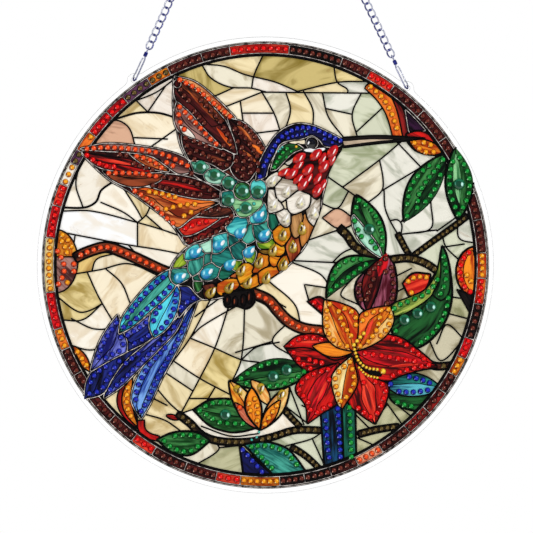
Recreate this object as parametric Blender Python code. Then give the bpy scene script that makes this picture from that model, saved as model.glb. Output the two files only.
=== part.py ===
"""Hanging picture roundel: a clear acrylic disc with a printed film and large set gems, on a steel chain.

Metres, +Z up. The picture faces -Y. The origin is the hanging point, under the link at the top of the chain.
"""

from math import asin, atan2, cos, pi, radians, sin, sqrt

import bmesh
import bpy
from mathutils import Matrix, Vector

MM = 0.001
GAP = 0.3 * MM  # between neighbours that touch in the real thing

# Acrylic panel
PANEL_RADIUS = 100 * MM
PANEL_THICK = 2 * MM
PANEL_DROP = 204 * MM  # hanging point down to the disc's centre
PANEL_SEGMENTS = 128

# Ears, on both sides of the disc's top; the disc hangs turned a little clockwise
EAR_ANGLE = radians(37.05)
HANG_TURN = radians(1.65)
EAR_HOLE_FROM_CENTRE = 99.4 * MM
EAR_HOLE_RADIUS = 1.2 * MM
EAR_RADIUS = 2.9 * MM
EAR_FILLET = 3.5 * MM
# How far round the disc each fillet starts from its ear's middle, where both arcs meet it
EAR_SPREAD = 2 * asin(
    sqrt(
        ((EAR_RADIUS + EAR_FILLET) ** 2 - (PANEL_RADIUS + EAR_FILLET - EAR_HOLE_FROM_CENTRE) ** 2)
        / (4 * (PANEL_RADIUS + EAR_FILLET) * EAR_HOLE_FROM_CENTRE)
    )
)

# Printed film on the front face
FILM_RADIUS = 98 * MM
FILM_THICK = 0.3 * MM
FILM_FRONT = -(PANEL_THICK / 2 + GAP + FILM_THICK)

# Hook: one bent wire through the ear, a crimp barrel and an eye for the chain
HOOK_WIRE = 1.25 * MM
HOOK_BEND = PANEL_THICK / 2 + GAP + HOOK_WIRE / 2  # centreline radius round the panel's edge
HOOK_SEAT = 1.69 * MM  # the lower bend's centre above the hole's centre
HOOK_SLIT = 0.5 * MM
BARREL_START = 11.3 * MM
BARREL_LENGTH = 2.2 * MM
BARREL_RADIUS = 0.85 * MM
EYE_RADIUS = 1.2 * MM

# Curb chain
CHAIN_WIRE = 0.65 * MM
CHAIN_PITCH = 3.25 * MM
CHAIN_BITE = 0.19 * MM  # pressed together this far, less what the wire thins at the bends
LINK_HALF_WIDTH = 1.2 * MM
LINK_TWIST = 0.4 * MM

# Gems
GEM_STEPS = 12
TABLE_SHARE = 0.55  # of the gem's length and width
GEM_BACK = FILM_FRONT - GAP


def clear_scene():
    for thing in list(bpy.data.objects):
        bpy.data.objects.remove(thing, do_unlink=True)


def finish(name, colour, roughness, metallic=0.0, transmission=0.0):
    material = bpy.data.materials.new(name)
    material.use_nodes = True
    shader = material.node_tree.nodes["Principled BSDF"]
    shader.inputs["Base Color"].default_value = (*colour, 1)
    shader.inputs["Roughness"].default_value = roughness
    shader.inputs["Metallic"].default_value = metallic
    shader.inputs["Transmission Weight"].default_value = transmission
    return material


def add_object(name, data, parent=None, material=None):
    thing = bpy.data.objects.new(name, data)
    ornament.objects.link(thing)
    thing.parent = parent
    if material and not data.materials:
        data.materials.append(material)
    return thing


def empty_at(name, location, parent=None):
    frame = add_object(name, None, parent)
    frame.location = location
    return frame


def mesh_from_bmesh(name, shape):
    bmesh.ops.recalc_face_normals(shape, faces=shape.faces)
    mesh = bpy.data.meshes.new(name)
    shape.to_mesh(mesh)
    shape.free()
    return mesh


def evaluated_mesh(thing):
    """A plain mesh of the object as its modifiers and bevel make it."""
    bpy.context.view_layer.update()
    seen = thing.evaluated_get(bpy.context.evaluated_depsgraph_get())
    return bpy.data.meshes.new_from_object(seen)


def curve_data(name, outlines, cyclic, dimensions):
    curve = bpy.data.curves.new(name, "CURVE")
    curve.dimensions = dimensions
    for outline in outlines:
        spline = curve.splines.new("POLY")
        spline.points.add(len(outline) - 1)
        for point, place in zip(spline.points, outline):
            point.co = (*place, 1)
        spline.use_cyclic_u = cyclic
    return curve


def wire_mesh(name, path, diameter, cyclic, resolution):
    """A round wire along a path, as a welded mesh."""
    curve = curve_data(name, [path], cyclic, "3D")
    curve.twist_mode = "Z_UP"
    curve.bevel_depth = diameter / 2
    curve.bevel_resolution = resolution
    curve.use_fill_caps = True
    guide = add_object(name + "_guide", curve)
    mesh = evaluated_mesh(guide)
    bpy.data.objects.remove(guide)
    bpy.data.curves.remove(curve)
    shape = bmesh.new()
    shape.from_mesh(mesh)
    bpy.data.meshes.remove(mesh)
    bmesh.ops.remove_doubles(shape, verts=shape.verts, dist=1e-6)
    return mesh_from_bmesh(name, shape)


def union(name, meshes):
    """The meshes joined into one body by Boolean unions."""
    joined = add_object(name + "_joined", meshes[0])
    for mesh in meshes[1:]:
        tool = add_object(name + "_tool", mesh)
        modifier = joined.modifiers.new("Union", "BOOLEAN")
        modifier.operation = "UNION"
        modifier.object = tool
        result = evaluated_mesh(joined)
        bpy.data.objects.remove(tool)
        joined.modifiers.clear()
        joined.data = result
    result = joined.data
    bpy.data.objects.remove(joined)
    result.name = name
    return result


# ---------------------------------------------------------------- panel and film


def polar(angle, radius):
    """A point in the panel's plane, with the angle measured clockwise from straight up."""
    return Vector((radius * sin(angle), radius * cos(angle), 0))


def arc(centre, radius, start, end, steps):
    """Points round a centre from one clockwise angle to another, both ends included."""
    return [centre + polar(start + (end - start) * i / steps, radius) for i in range(steps + 1)]


def ear_outline(angle):
    """An ear's outline, clockwise: a hollow fillet, the round tab and the other fillet."""
    tab = polar(angle, EAR_HOLE_FROM_CENTRE)
    fillets = []
    for side in (-1, 1):
        fillet = polar(angle + side * EAR_SPREAD, PANEL_RADIUS + EAR_FILLET)
        at_disc = angle + side * EAR_SPREAD + pi
        at_tab = atan2((tab - fillet).x, (tab - fillet).y)
        turn = (at_tab - at_disc + pi) % (2 * pi) - pi
        fillets.append(arc(fillet, EAR_FILLET, at_disc, at_disc + turn, 5))
    entry, leave = fillets[0], fillets[1][::-1]
    start, end = entry[-1] - tab, leave[0] - tab
    first = atan2(start.x, start.y)
    sweep = (atan2(end.x, end.y) - first) % (2 * pi)
    return entry + arc(tab, EAR_RADIUS, first, first + sweep, 10)[1:-1] + leave


def panel_outline():
    """Round the disc clockwise: the left ear, the top, the right ear and the rest."""
    top_ends = (-EAR_ANGLE + EAR_SPREAD, EAR_ANGLE - EAR_SPREAD)
    rest_ends = (EAR_ANGLE + EAR_SPREAD, 2 * pi - EAR_ANGLE - EAR_SPREAD)
    top, rest = (
        arc(Vector(), PANEL_RADIUS, start, end, round(PANEL_SEGMENTS * (end - start) / (2 * pi)))[1:-1]
        for start, end in (top_ends, rest_ends)
    )
    return ear_outline(-EAR_ANGLE) + top + ear_outline(EAR_ANGLE) + rest


def flat_plate(name, outlines, thickness, y_middle, turn, material):
    """A plate in the XZ plane, cut from outlines drawn in XY."""
    curve = curve_data(name, outlines, True, "2D")
    curve.fill_mode = "BOTH"
    curve.extrude = thickness / 2
    plate = add_object(name, curve, panel_frame, material)
    plate.rotation_euler = (pi / 2, turn, 0)
    plate.location = (0, y_middle, 0)
    return plate


def make_panel():
    holes = [
        arc(polar(side * EAR_ANGLE, EAR_HOLE_FROM_CENTRE), EAR_HOLE_RADIUS, 0, 2 * pi, 16)[:-1]
        for side in (-1, 1)
    ]
    flat_plate("panel", [panel_outline(), *holes], PANEL_THICK, 0, HANG_TURN, acrylic)


def make_film():
    rim = arc(Vector(), FILM_RADIUS, 0, 2 * pi, PANEL_SEGMENTS)[:-1]
    flat_plate("picture_film", [rim], FILM_THICK, FILM_FRONT + FILM_THICK / 2, 0, film)


# ---------------------------------------------------------------- hooks and chain


def ear_hole(side):
    """The centre of an ear's hole in the world."""
    flat = polar(side * EAR_ANGLE + HANG_TURN, EAR_HOLE_FROM_CENTRE)
    return Vector((flat.x, 0, flat.y - PANEL_DROP))


def strand_frame(side):
    """An empty at the ear's hole, with its X along the chain and its Z to the back."""
    hole = ear_hole(side)
    along = (top_wire(side) - hole).normalized()
    frame = empty_at(f"strand_frame_{SIDES[side]}", hole)
    frame.rotation_mode = "QUATERNION"
    back = Vector((0, 1, 0))
    frame.rotation_quaternion = Matrix((along, back.cross(along), back)).transposed().to_quaternion()
    return frame


def link_reach(pitch):
    """Half the length of a link's centreline, for links that bite into each other."""
    return (pitch + CHAIN_WIRE - CHAIN_BITE) / 2


def top_wire(side):
    """The middle of the top link's end wire, which carries a strand."""
    return Vector((side * link_reach(CHAIN_PITCH), 0, CHAIN_WIRE / 2))


def link_path(half_length, twist):
    """Eight points round a long link, its corners raised and lowered by turns."""
    first, step = pi / 8, pi / 4
    length, width = half_length / cos(first), LINK_HALF_WIDTH / cos(first)
    path = []
    for i in range(8):
        angle = first + i * step
        lift = twist if sin(2 * angle) > 0 else -twist
        path.append(Vector((length * cos(angle), width * sin(angle), lift)))
    return path


def hook_path():
    """From the barrel down the front, through the ear and up the back to a slit under the barrel."""
    top = BARREL_START - HOOK_BEND
    front = [Vector((BARREL_START + HOOK_WIRE / 2, 0, 0))]
    front += [
        Vector((top + HOOK_BEND * sin(a), 0, -HOOK_BEND * cos(a)))
        for a in (radians(60), radians(30), 0)
    ]
    low = [
        Vector((HOOK_SEAT - HOOK_BEND * sin(a), 0, -HOOK_BEND * cos(a)))
        for a in (pi * i / 6 for i in range(7))
    ]
    open_end = [
        Vector((top - HOOK_SLIT + HOOK_BEND * sin(a), 0, HOOK_BEND * cos(a)))
        for a in (0, radians(25), radians(50))
    ]
    return front + low + open_end


def barrel_mesh():
    shape = bmesh.new()
    bmesh.ops.create_cone(
        shape, cap_ends=True, segments=10, radius1=BARREL_RADIUS, radius2=BARREL_RADIUS, depth=BARREL_LENGTH
    )
    middle = BARREL_START + BARREL_LENGTH / 2
    bmesh.ops.transform(
        shape, verts=shape.verts, matrix=Matrix.Translation((middle, 0, 0)) @ Matrix.Rotation(pi / 2, 4, "Y")
    )
    return mesh_from_bmesh("barrel", shape)


def eye_centre():
    return BARREL_START + BARREL_LENGTH + EYE_RADIUS


def make_hook(side, frame):
    eye_path = [
        Vector((eye_centre() + EYE_RADIUS * cos(a), 0, EYE_RADIUS * sin(a)))
        for a in (2 * pi * i / 10 for i in range(10))
    ]
    parts = [
        barrel_mesh(),
        wire_mesh("hook_wire", hook_path(), HOOK_WIRE, False, 1),
        wire_mesh("hook_eye", eye_path, CHAIN_WIRE, True, 1),
    ]
    name = f"hook_{SIDES[side]}"
    add_object(name, union(name, parts), frame, steel)


def links_mesh(name, links, path):
    """Copies of one link at the given places along X, as one mesh of separate shells."""
    link = wire_mesh(name, path, CHAIN_WIRE, True, 0)
    shape = bmesh.new()
    for place in links:
        before = len(shape.verts)
        shape.from_mesh(link)
        shape.verts.ensure_lookup_table()
        bmesh.ops.translate(shape, verts=shape.verts[before:], vec=(place, 0, 0))
    bpy.data.meshes.remove(link)
    return mesh_from_bmesh(name, shape)


def make_strand(side, frame):
    """A strand of links from the hook's eye to the top link's end wire."""
    reach = link_reach(CHAIN_PITCH)
    clear = CHAIN_WIRE + GAP
    first = eye_centre() + EYE_RADIUS - clear + reach
    last = (top_wire(side) - ear_hole(side)).length + clear - reach
    spaces = round((last - first) / CHAIN_PITCH)
    pitch = (last - first) / spaces
    path = link_path(link_reach(pitch), LINK_TWIST)
    places = [first + pitch * i for i in range(spaces + 1)]
    name = f"chain_{SIDES[side]}"
    halves = [links_mesh(f"{name}_links", places[start::2], path) for start in (0, 1)]
    add_object(name, union(name, halves), frame, steel)


def make_top_link():
    """The link that the nail carries lies level across it."""
    path = link_path(link_reach(CHAIN_PITCH), 0)
    link = add_object("chain_top_link", wire_mesh("chain_top_link", path, CHAIN_WIRE, True, 1), None, steel)
    link.location = (0, 0, CHAIN_WIRE / 2)


# ---------------------------------------------------------------- gems


def drop(angle):
    """A teardrop's outline: its point at +X, both half-axes 1."""
    return cos(angle), 1.3 * sin(angle) * sin(angle / 2)


def marquise(angle):
    """A pointed oval's outline."""
    return cos(angle), sin(angle) * (0.72 + 0.28 * abs(sin(angle)))


def round_cut(angle):
    return cos(angle), sin(angle)


def cut_gem(name, length, width, height, outline, material):
    """A flat-backed gem with a ring of facets round its table, its back in the XY plane."""
    shape = bmesh.new()
    rings = []
    for share, rise in ((1, 0), (TABLE_SHARE, 1)):
        ring = []
        for i in range(GEM_STEPS):
            x, y = outline(2 * pi * i / GEM_STEPS)
            ring.append(shape.verts.new((x * share * length / 2, y * share * width / 2, rise * height)))
        rings.append(ring)
    low, high = rings
    for i in range(GEM_STEPS):
        j = (i + 1) % GEM_STEPS
        shape.faces.new((low[i], low[j], high[j], high[i]))
    shape.faces.new(high)
    shape.faces.new(low[::-1])
    mesh = mesh_from_bmesh(name, shape)
    mesh.materials.append(material)
    return mesh


def set_gems(name, mesh, places, turn):
    """Gems at places (x, z) from the disc's centre, each with its +X end turned up by an angle."""
    for number, (x, z) in enumerate(places, 1):
        gem = add_object(f"{name}_{number:02d}", mesh, panel_frame)
        gem.location = (x * MM, GEM_BACK, z * MM)
        gem.rotation_euler = (pi / 2, -radians(turn(x, z)), 0)


def row(start, middle, end, count):
    """Places spread along a bowed row, evenly in the row's parameter."""
    places = []
    for i in range(count):
        t = i / (count - 1)
        weights = ((1 - t) * (1 - 2 * t), 4 * t * (1 - t), t * (2 * t - 1))
        places.append(tuple(sum(w * p[k] for w, p in zip(weights, (start, middle, end))) for k in (0, 1)))
    return places


def straight(start, end, count):
    middle = tuple((a + b) / 2 for a, b in zip(start, end))
    return row(start, middle, end, count)


def gem_groups():
    """Each group: name, mesh and places in millimetres, and the turn of its gems."""
    emerald = finish("emerald_gem", (0.01, 0.16, 0.07), 0.05)
    turquoise = finish("turquoise_gem", (0.0, 0.4, 0.55), 0.05)
    gold = finish("gold_gem", (0.45, 0.3, 0.03), 0.05)
    clear = finish("clear_gem", (0.75, 0.72, 0.6), 0.05)
    red = finish("red_gem", (0.6, 0.01, 0.01), 0.05)
    black = finish("black_gem", (0.01, 0.01, 0.01), 0.05)
    big_round = cut_gem("shoulder_gem", 5.7 * MM, 5.7 * MM, 2.1 * MM, round_cut, emerald)
    leaf_round = cut_gem("leaf_gem", 5.2 * MM, 5.2 * MM, 1.9 * MM, round_cut, emerald)
    eye = cut_gem("eye_gem", 4.4 * MM, 4.4 * MM, 1.8 * MM, round_cut, black)
    back = cut_gem("back_gem", 6.6 * MM, 4.8 * MM, 1.9 * MM, drop, turquoise)
    belly = cut_gem("belly_gem", 6.2 * MM, 4.1 * MM, 1.8 * MM, drop, gold)
    breast = cut_gem("breast_gem", 6.2 * MM, 4.1 * MM, 1.8 * MM, drop, clear)
    throat = cut_gem("throat_gem", 5.8 * MM, 3.5 * MM, 1.6 * MM, marquise, red)
    bud = cut_gem("bud_gem", 5.4 * MM, 3.5 * MM, 1.6 * MM, drop, gold)

    shoulder_places = straight((-28.5, 43), (-10, 32.4), 4) + [(-3.4, 32), (-16.2, 28.2), (-8.6, 25)]
    leaf_places = straight((60.9, -24.1), (72.4, -18.4), 3) + straight((3.4, -48.8), (9.3, -46), 2)
    leaf_places += [(45.5, 15.6), (84.8, 35.4), (-17.6, -65.6)]
    back_places = row((-2.6, 21.8), (-15.2, 11.6), (-30.4, 5.8), 4)
    back_places += row((-0.2, 13.4), (-15.2, 0.4), (-37, -5.2), 5)
    belly_places = row((7.6, 13.4), (0.6, 3.8), (-10.5, -2.2), 4)
    belly_places += straight((16, 16), (8, 0.5), 3) + straight((0.5, -5.4), (-23.6, -11.8), 4)
    breast_places = straight((3.4, 37), (21.4, 23), 4) + [(3.6, 26.6), (9.2, 20.2)]
    throat_places = straight((14.8, 46.8), (29.4, 49.6), 3) + straight((11.6, 40), (25.6, 43), 3)
    throat_places += straight((16.6, 35.4), (22.8, 32.6), 2)
    bud_places = [(-11.8, -55), (-2, -54.4), (6.8, -57)]
    return [
        ("eye_gem", eye, [(20, 53.2)], lambda x, z: 0),
        ("shoulder_gem", big_round, shoulder_places, lambda x, z: 0),
        ("leaf_gem", leaf_round, leaf_places, lambda x, z: 0),
        ("back_gem", back, back_places, lambda x, z: 52 + 0.7 * x),
        ("belly_gem", belly, belly_places, lambda x, z: 74 + 1.2 * x),
        ("breast_gem", breast, breast_places, lambda x, z: 48 + 2.2 * x),
        ("throat_gem", throat, throat_places, lambda x, z: 62 + 1.5 * (x - 20) - 1.2 * (z - 31)),
        ("bud_gem", bud, bud_places, lambda x, z: 128 - 8 * (x + 12) / 2),
    ]


clear_scene()
SIDES = {-1: "left", 1: "right"}
ornament = bpy.data.collections.new("picture_roundel")
bpy.context.scene.collection.children.link(ornament)

acrylic = finish("clear_acrylic", (0.95, 0.97, 0.97), 0.05, transmission=1.0)
film = finish("printed_film", (0.55, 0.42, 0.25), 0.3)
steel = finish("bright_steel", (0.72, 0.74, 0.78), 0.18, metallic=1.0)

panel_frame = empty_at("panel_frame", (0, 0, -PANEL_DROP))
make_panel()
make_film()
for group in gem_groups():
    set_gems(*group)
for which in SIDES:
    strand = strand_frame(which)
    make_hook(which, strand)
    make_strand(which, strand)
make_top_link()
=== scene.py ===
"""Hanging picture roundel: a clear acrylic disc with a stained-glass style picture set with faceted stones.

The picture is drawn flat in millimetres from the disc's centre (x to the right, y up, height towards the
viewer) and then stood upright in the row frame by FACE.
"""

from math import asin, atan2, cos, log, pi, radians, sin, sqrt, tau

import bmesh
import bpy
import numpy as np
from mathutils import Matrix, Vector
from mathutils.geometry import delaunay_2d_cdt


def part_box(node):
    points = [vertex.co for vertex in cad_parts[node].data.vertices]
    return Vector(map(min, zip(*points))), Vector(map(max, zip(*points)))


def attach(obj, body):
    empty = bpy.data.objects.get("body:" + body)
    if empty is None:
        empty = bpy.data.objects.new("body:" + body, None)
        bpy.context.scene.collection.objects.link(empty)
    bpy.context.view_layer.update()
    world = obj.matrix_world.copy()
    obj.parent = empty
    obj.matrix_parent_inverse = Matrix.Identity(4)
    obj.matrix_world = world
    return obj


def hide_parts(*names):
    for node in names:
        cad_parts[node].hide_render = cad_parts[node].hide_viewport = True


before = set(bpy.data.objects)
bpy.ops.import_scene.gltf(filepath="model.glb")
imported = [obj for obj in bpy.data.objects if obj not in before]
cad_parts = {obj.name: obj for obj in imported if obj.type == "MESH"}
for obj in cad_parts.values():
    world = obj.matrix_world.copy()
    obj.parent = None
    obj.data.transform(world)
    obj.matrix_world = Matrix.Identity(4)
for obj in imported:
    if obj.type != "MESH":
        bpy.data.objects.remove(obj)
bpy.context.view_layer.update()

MM = 0.001
film_low, film_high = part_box("picture_film")
DISC_CENTRE = Vector(((film_low.x + film_high.x) / 2, 0, (film_low.z + film_high.z) / 2))
PICTURE_FRONT = film_low.y - 0.22 * MM  # just clear of the backs of the set gems
PICTURE_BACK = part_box("panel")[0].y - 0.02 * MM
PICTURE_THICK = (PICTURE_BACK - PICTURE_FRONT) / MM

# Flat drawing (millimetres) to the row frame: its y goes up, its height goes to the viewer
FACE = Matrix((
    (MM, 0, 0, DISC_CENTRE.x),
    (0, 0, -MM, PICTURE_FRONT),
    (0, MM, 0, DISC_CENTRE.z),
    (0, 0, 0, 1),
))

# Radii of the picture's rings
FIELD_RADIUS = 91.7
INNER_LEAD_RADIUS = 92.8
SEGMENT_RADIUS = 97.0
RIM_RADIUS = 98.0
RING_LAP = 0.6  # how far the border's pieces reach past its leads
BORDER_STONES_RADIUS = 94.85

STONE_PITCH = 3.12
STONE_RADIUS = 1.32
CLOSE_PITCH = 2 * STONE_RADIUS + 0.1  # stones that all but touch
STONE_INSET = 1.72  # from an outline to the middles of the stones inside it
STONE_HEIGHT = 0.95
STONE_LIFT = 0.02  # of a stone's back above the picture
LEAD_CLEAR, GEM_CLEAR, STONE_CLEAR = 0.78, 0.1, 0.02  # a stone's least gap to leads, large gems and stones
GEM_CORE = 2.6  # no small stone's middle is nearer to a large gem's middle
OUTLINE_STEP = 0.8  # spacing of points along a drawn outline
FILL_STEP = 1.7  # spacing of the points inside the shapes
LINE_PAST = 1.3  # how far the field's lines are drawn past their ends
STUB_LENGTH = 1.9  # loose ends shorter than this are taken out
SEED = 7
PAINTED_LIGHT_WAY = (0.7, 0.55, 0)  # the facets that lean this way are painted lit
PAINTED_LIGHT_LEVEL = 0.45  # how lit a level facet is painted
RIDGE_LIFT = 0.17  # of the bright ridges above the dark leads


# ---------------------------------------------------------------- colours


def linear(colour):
    """Linear colour from display values."""
    return tuple(c / 12.92 if c <= 0.04045 else ((c + 0.055) / 1.055) ** 2.4 for c in colour)


# Printed glass: dark streak, light streak
GLASS = {
    "white": ((0.96, 0.93, 0.88), (1.0, 1.0, 1.0)),
    "ivory": ((0.90, 0.84, 0.74), (0.99, 0.96, 0.90)),
    "cream": ((0.87, 0.78, 0.62), (0.98, 0.93, 0.82)),
    "blush": ((0.84, 0.77, 0.69), (0.96, 0.92, 0.87)),
    "straw": ((0.74, 0.64, 0.42), (0.95, 0.88, 0.70)),
    "honey": ((0.68, 0.50, 0.22), (0.93, 0.80, 0.50)),
    "olive": ((0.52, 0.44, 0.16), (0.80, 0.72, 0.46)),
    "moss": ((0.54, 0.54, 0.38), (0.76, 0.75, 0.60)),
    "sage": ((0.58, 0.61, 0.47), (0.84, 0.85, 0.75)),
    "mist": ((0.69, 0.70, 0.63), (0.92, 0.91, 0.86)),
    "stone": ((0.54, 0.50, 0.37), (0.80, 0.77, 0.66)),
    "soot": ((0.01, 0.005, 0.005), (0.10, 0.07, 0.06)),
    "jet": ((0.01, 0.0, 0.0), (0.10, 0.04, 0.04)),
    "maroon": ((0.07, 0.0, 0.0), (0.34, 0.08, 0.08)),
    "oxblood": ((0.16, 0.0, 0.01), (0.6, 0.1, 0.09)),
    "crimson": ((0.42, 0.0, 0.03), (0.90, 0.07, 0.12)),
    "scarlet": ((0.70, 0.03, 0.02), (0.98, 0.28, 0.18)),
    "ruby": ((0.20, 0.0, 0.01), (0.86, 0.08, 0.06)),
    "flame": ((0.74, 0.14, 0.02), (0.98, 0.50, 0.16)),
    "orange": ((0.66, 0.17, 0.01), (0.99, 0.58, 0.12)),
    "amber": ((0.80, 0.38, 0.03), (0.99, 0.72, 0.24)),
    "peach": ((0.90, 0.52, 0.16), (0.99, 0.84, 0.52)),
    "butter": ((0.88, 0.70, 0.36), (0.99, 0.93, 0.68)),
    "salmon": ((0.78, 0.38, 0.26), (0.97, 0.68, 0.54)),
    "rose_tan": ((0.56, 0.38, 0.30), (0.86, 0.68, 0.56)),
    "tan": ((0.50, 0.32, 0.14), (0.80, 0.60, 0.38)),
    "umber": ((0.12, 0.03, 0.02), (0.46, 0.20, 0.13)),
    "rust": ((0.46, 0.13, 0.04), (0.9, 0.48, 0.22)),
    "bark": ((0.10, 0.02, 0.01), (0.60, 0.27, 0.14)),
    "rosewood": ((0.28, 0.12, 0.12), (0.7, 0.52, 0.48)),
    "twig": ((0.04, 0.02, 0.01), (0.27, 0.20, 0.11)),
    "violet": ((0.22, 0.10, 0.22), (0.48, 0.28, 0.42)),
    "plum": ((0.03, 0.0, 0.03), (0.20, 0.05, 0.20)),
    "wine": ((0.28, 0.01, 0.08), (0.72, 0.38, 0.48)),
    "leaf": ((0.02, 0.22, 0.06), (0.26, 0.55, 0.28)),
    "leaf_light": ((0.1, 0.42, 0.2), (0.62, 0.86, 0.62)),
    "leaf_dark": ((0.0, 0.07, 0.02), (0.12, 0.38, 0.17)),
    "lime": ((0.20, 0.38, 0.07), (0.72, 0.78, 0.36)),
    "mint": ((0.16, 0.5, 0.4), (0.72, 0.92, 0.82)),
    "pine": ((0.0, 0.2, 0.16), (0.1, 0.46, 0.36)),
    "teal": ((0.0, 0.32, 0.3), (0.3, 0.7, 0.62)),
    "spring": ((0.30, 0.50, 0.03), (0.72, 0.80, 0.24)),
    "turquoise": ((0.0, 0.44, 0.58), (0.36, 0.90, 0.96)),
    "sky": ((0.02, 0.42, 0.80), (0.42, 0.88, 0.98)),
    "azure": ((0.05, 0.20, 0.60), (0.50, 0.70, 0.96)),
    "navy": ((0.01, 0.01, 0.12), (0.12, 0.17, 0.52)),
    "midnight": ((0.0, 0.0, 0.06), (0.06, 0.08, 0.34)),
    "iris": ((0.06, 0.07, 0.38), (0.50, 0.53, 0.92)),
    "royal": ((0.0, 0.04, 0.24), (0.13, 0.30, 0.70)),
    "linen": ((0.70, 0.65, 0.53), (0.93, 0.90, 0.81)),
    "khaki": ((0.66, 0.56, 0.28), (0.92, 0.84, 0.60)),
    "copper": ((0.58, 0.22, 0.10), (0.94, 0.64, 0.40)),
    "lake": ((0.0, 0.26, 0.36), (0.36, 0.74, 0.80)),
    "abyss": ((0.0, 0.02, 0.06), (0.05, 0.28, 0.44)),
    "viridian": ((0.0, 0.24, 0.24), (0.14, 0.55, 0.5)),
    "lagoon": ((0.02, 0.50, 0.54), (0.40, 0.88, 0.86)),
    "gilt": ((0.80, 0.42, 0.02), (0.98, 0.72, 0.16)),
    "marigold": ((0.72, 0.28, 0.02), (0.95, 0.60, 0.10)),
    "caramel": ((0.60, 0.30, 0.08), (0.82, 0.54, 0.26)),
    "ochre": ((0.46, 0.32, 0.06), (0.86, 0.68, 0.28)),
    "pearl": ((0.60, 0.54, 0.46), (0.96, 0.93, 0.88)),
    "bone": ((0.50, 0.40, 0.32), (0.80, 0.72, 0.62)),
}
PALE = (  # the marbled ones
    "white", "ivory", "cream", "blush", "straw", "honey", "olive", "moss", "sage", "mist", "stone", "khaki",
    "linen", "rose_tan",
)

STONES = {  # girdle's painted shadow, painted shaded facets, painted lit facets, painted highlight at the lower left, painted highlight at the upper right
    "brown": ((0.03, 0.0, 0.0), (0.12, 0.03, 0.02), (0.42, 0.17, 0.12), (0.85, 0.60, 0.52),
              (0.58, 0.32, 0.25)),
    "copper": ((0.40, 0.04, 0.0), (0.64, 0.14, 0.04), (1.0, 0.34, 0.12), (1.0, 0.88, 0.70),
               (1.0, 0.62, 0.36)),
    "red": ((0.42, 0.0, 0.0), (0.60, 0.0, 0.02), (0.96, 0.06, 0.05), (1.0, 0.60, 0.56), (1.0, 0.20, 0.14)),
    "amber": ((0.52, 0.20, 0.0), (0.66, 0.28, 0.01), (1.0, 0.66, 0.10), (1.0, 0.96, 0.60),
              (1.0, 0.86, 0.30)),
    "gold": ((0.50, 0.28, 0.01), (0.70, 0.44, 0.04), (1.0, 0.84, 0.22), (1.0, 0.99, 0.72),
             (1.0, 0.92, 0.40)),
    "green": ((0.0, 0.12, 0.03), (0.0, 0.26, 0.08), (0.08, 0.60, 0.21), (0.66, 0.98, 0.68),
              (0.22, 0.82, 0.40)),
    "blue": ((0.0, 0.0, 0.12), (0.02, 0.03, 0.30), (0.14, 0.18, 0.74), (0.62, 0.62, 0.98),
             (0.10, 0.42, 0.70)),
    "olive": ((0.03, 0.02, 0.01), (0.12, 0.09, 0.03), (0.40, 0.32, 0.14), (0.78, 0.68, 0.46),
              (0.52, 0.43, 0.24)),
    "aqua": ((0.0, 0.18, 0.18), (0.06, 0.44, 0.42), (0.30, 0.78, 0.70), (0.86, 1.0, 0.97),
             (0.40, 0.84, 0.76)),
}
STONE_SLOTS = {
    "brown": "black_gem", "copper": "red_gem", "red": "red_gem", "amber": "gold_gem", "gold": "gold_gem",
    "green": "emerald_gem", "blue": "turquoise_gem", "olive": "black_gem", "aqua": "emerald_gem",
}

# Lines: half width of the dark lead, and of the bright ridge on it
LINES = {
    "none": (0.0, 0.0),
    "fine": (0.2, 0.0),
    "lead": (0.36, 0.0),
    "bold": (0.5, 0.0),
    "silver": (0.55, 0.15),
    "scale": (0.42, 0.11),
    "border": (0.32, 0.12),
}


# ---------------------------------------------------------------- flat curves


def points_of(values):
    return np.array([v[:2] for v in values], float)


def far_along(line):
    """The distance of each point of a polyline from its start."""
    return np.concatenate([[0], np.cumsum(np.hypot(*np.diff(line, axis=0).T))])


def left_of(slope):
    """Unit steps to the left of some directions."""
    return np.stack([-slope[:, 1], slope[:, 0]], axis=1) / np.maximum(np.hypot(*slope.T), 1e-9)[:, None]


def spaced(line, step, closed=False):
    """Points at an even spacing along a polyline."""
    line = np.asarray(line, float)
    if closed:
        line = np.vstack([line, line[:1]])
    length = far_along(line)
    count = max(1, round(length[-1] / step))
    at = np.linspace(0, length[-1], count + 1)
    if closed:
        at = at[:-1]
    return np.stack([np.interp(at, length, line[:, k]) for k in (0, 1)], axis=1)


def through(points, closed=False, steps=10):
    """A smooth curve through points; a point with a third value is a sharp corner."""
    place = points_of(points)
    sharp = [len(p) > 2 for p in points]
    count = len(points)
    curve = []
    for i in range(count if closed else count - 1):
        j = (i + 1) % count
        before = place[i] if sharp[i] else place[i - 1] if closed or i else place[i]
        after = place[j] if sharp[j] else place[(j + 1) % count] if closed or j + 1 < count else place[j]
        start, end = place[i], place[j]
        reach = np.hypot(*(end - start))
        slope_a = (end - before) * reach / max(reach + np.hypot(*(start - before)), 1e-9)
        slope_b = (after - start) * reach / max(reach + np.hypot(*(after - end)), 1e-9)
        for t in np.arange(steps) / steps:
            curve.append(
                (2 * t**3 - 3 * t**2 + 1) * start + (t**3 - 2 * t**2 + t) * slope_a
                + (3 * t**2 - 2 * t**3) * end + (t**3 - t**2) * slope_b
            )
    if not closed:
        curve.append(place[-1])
    return np.array(curve)


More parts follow.
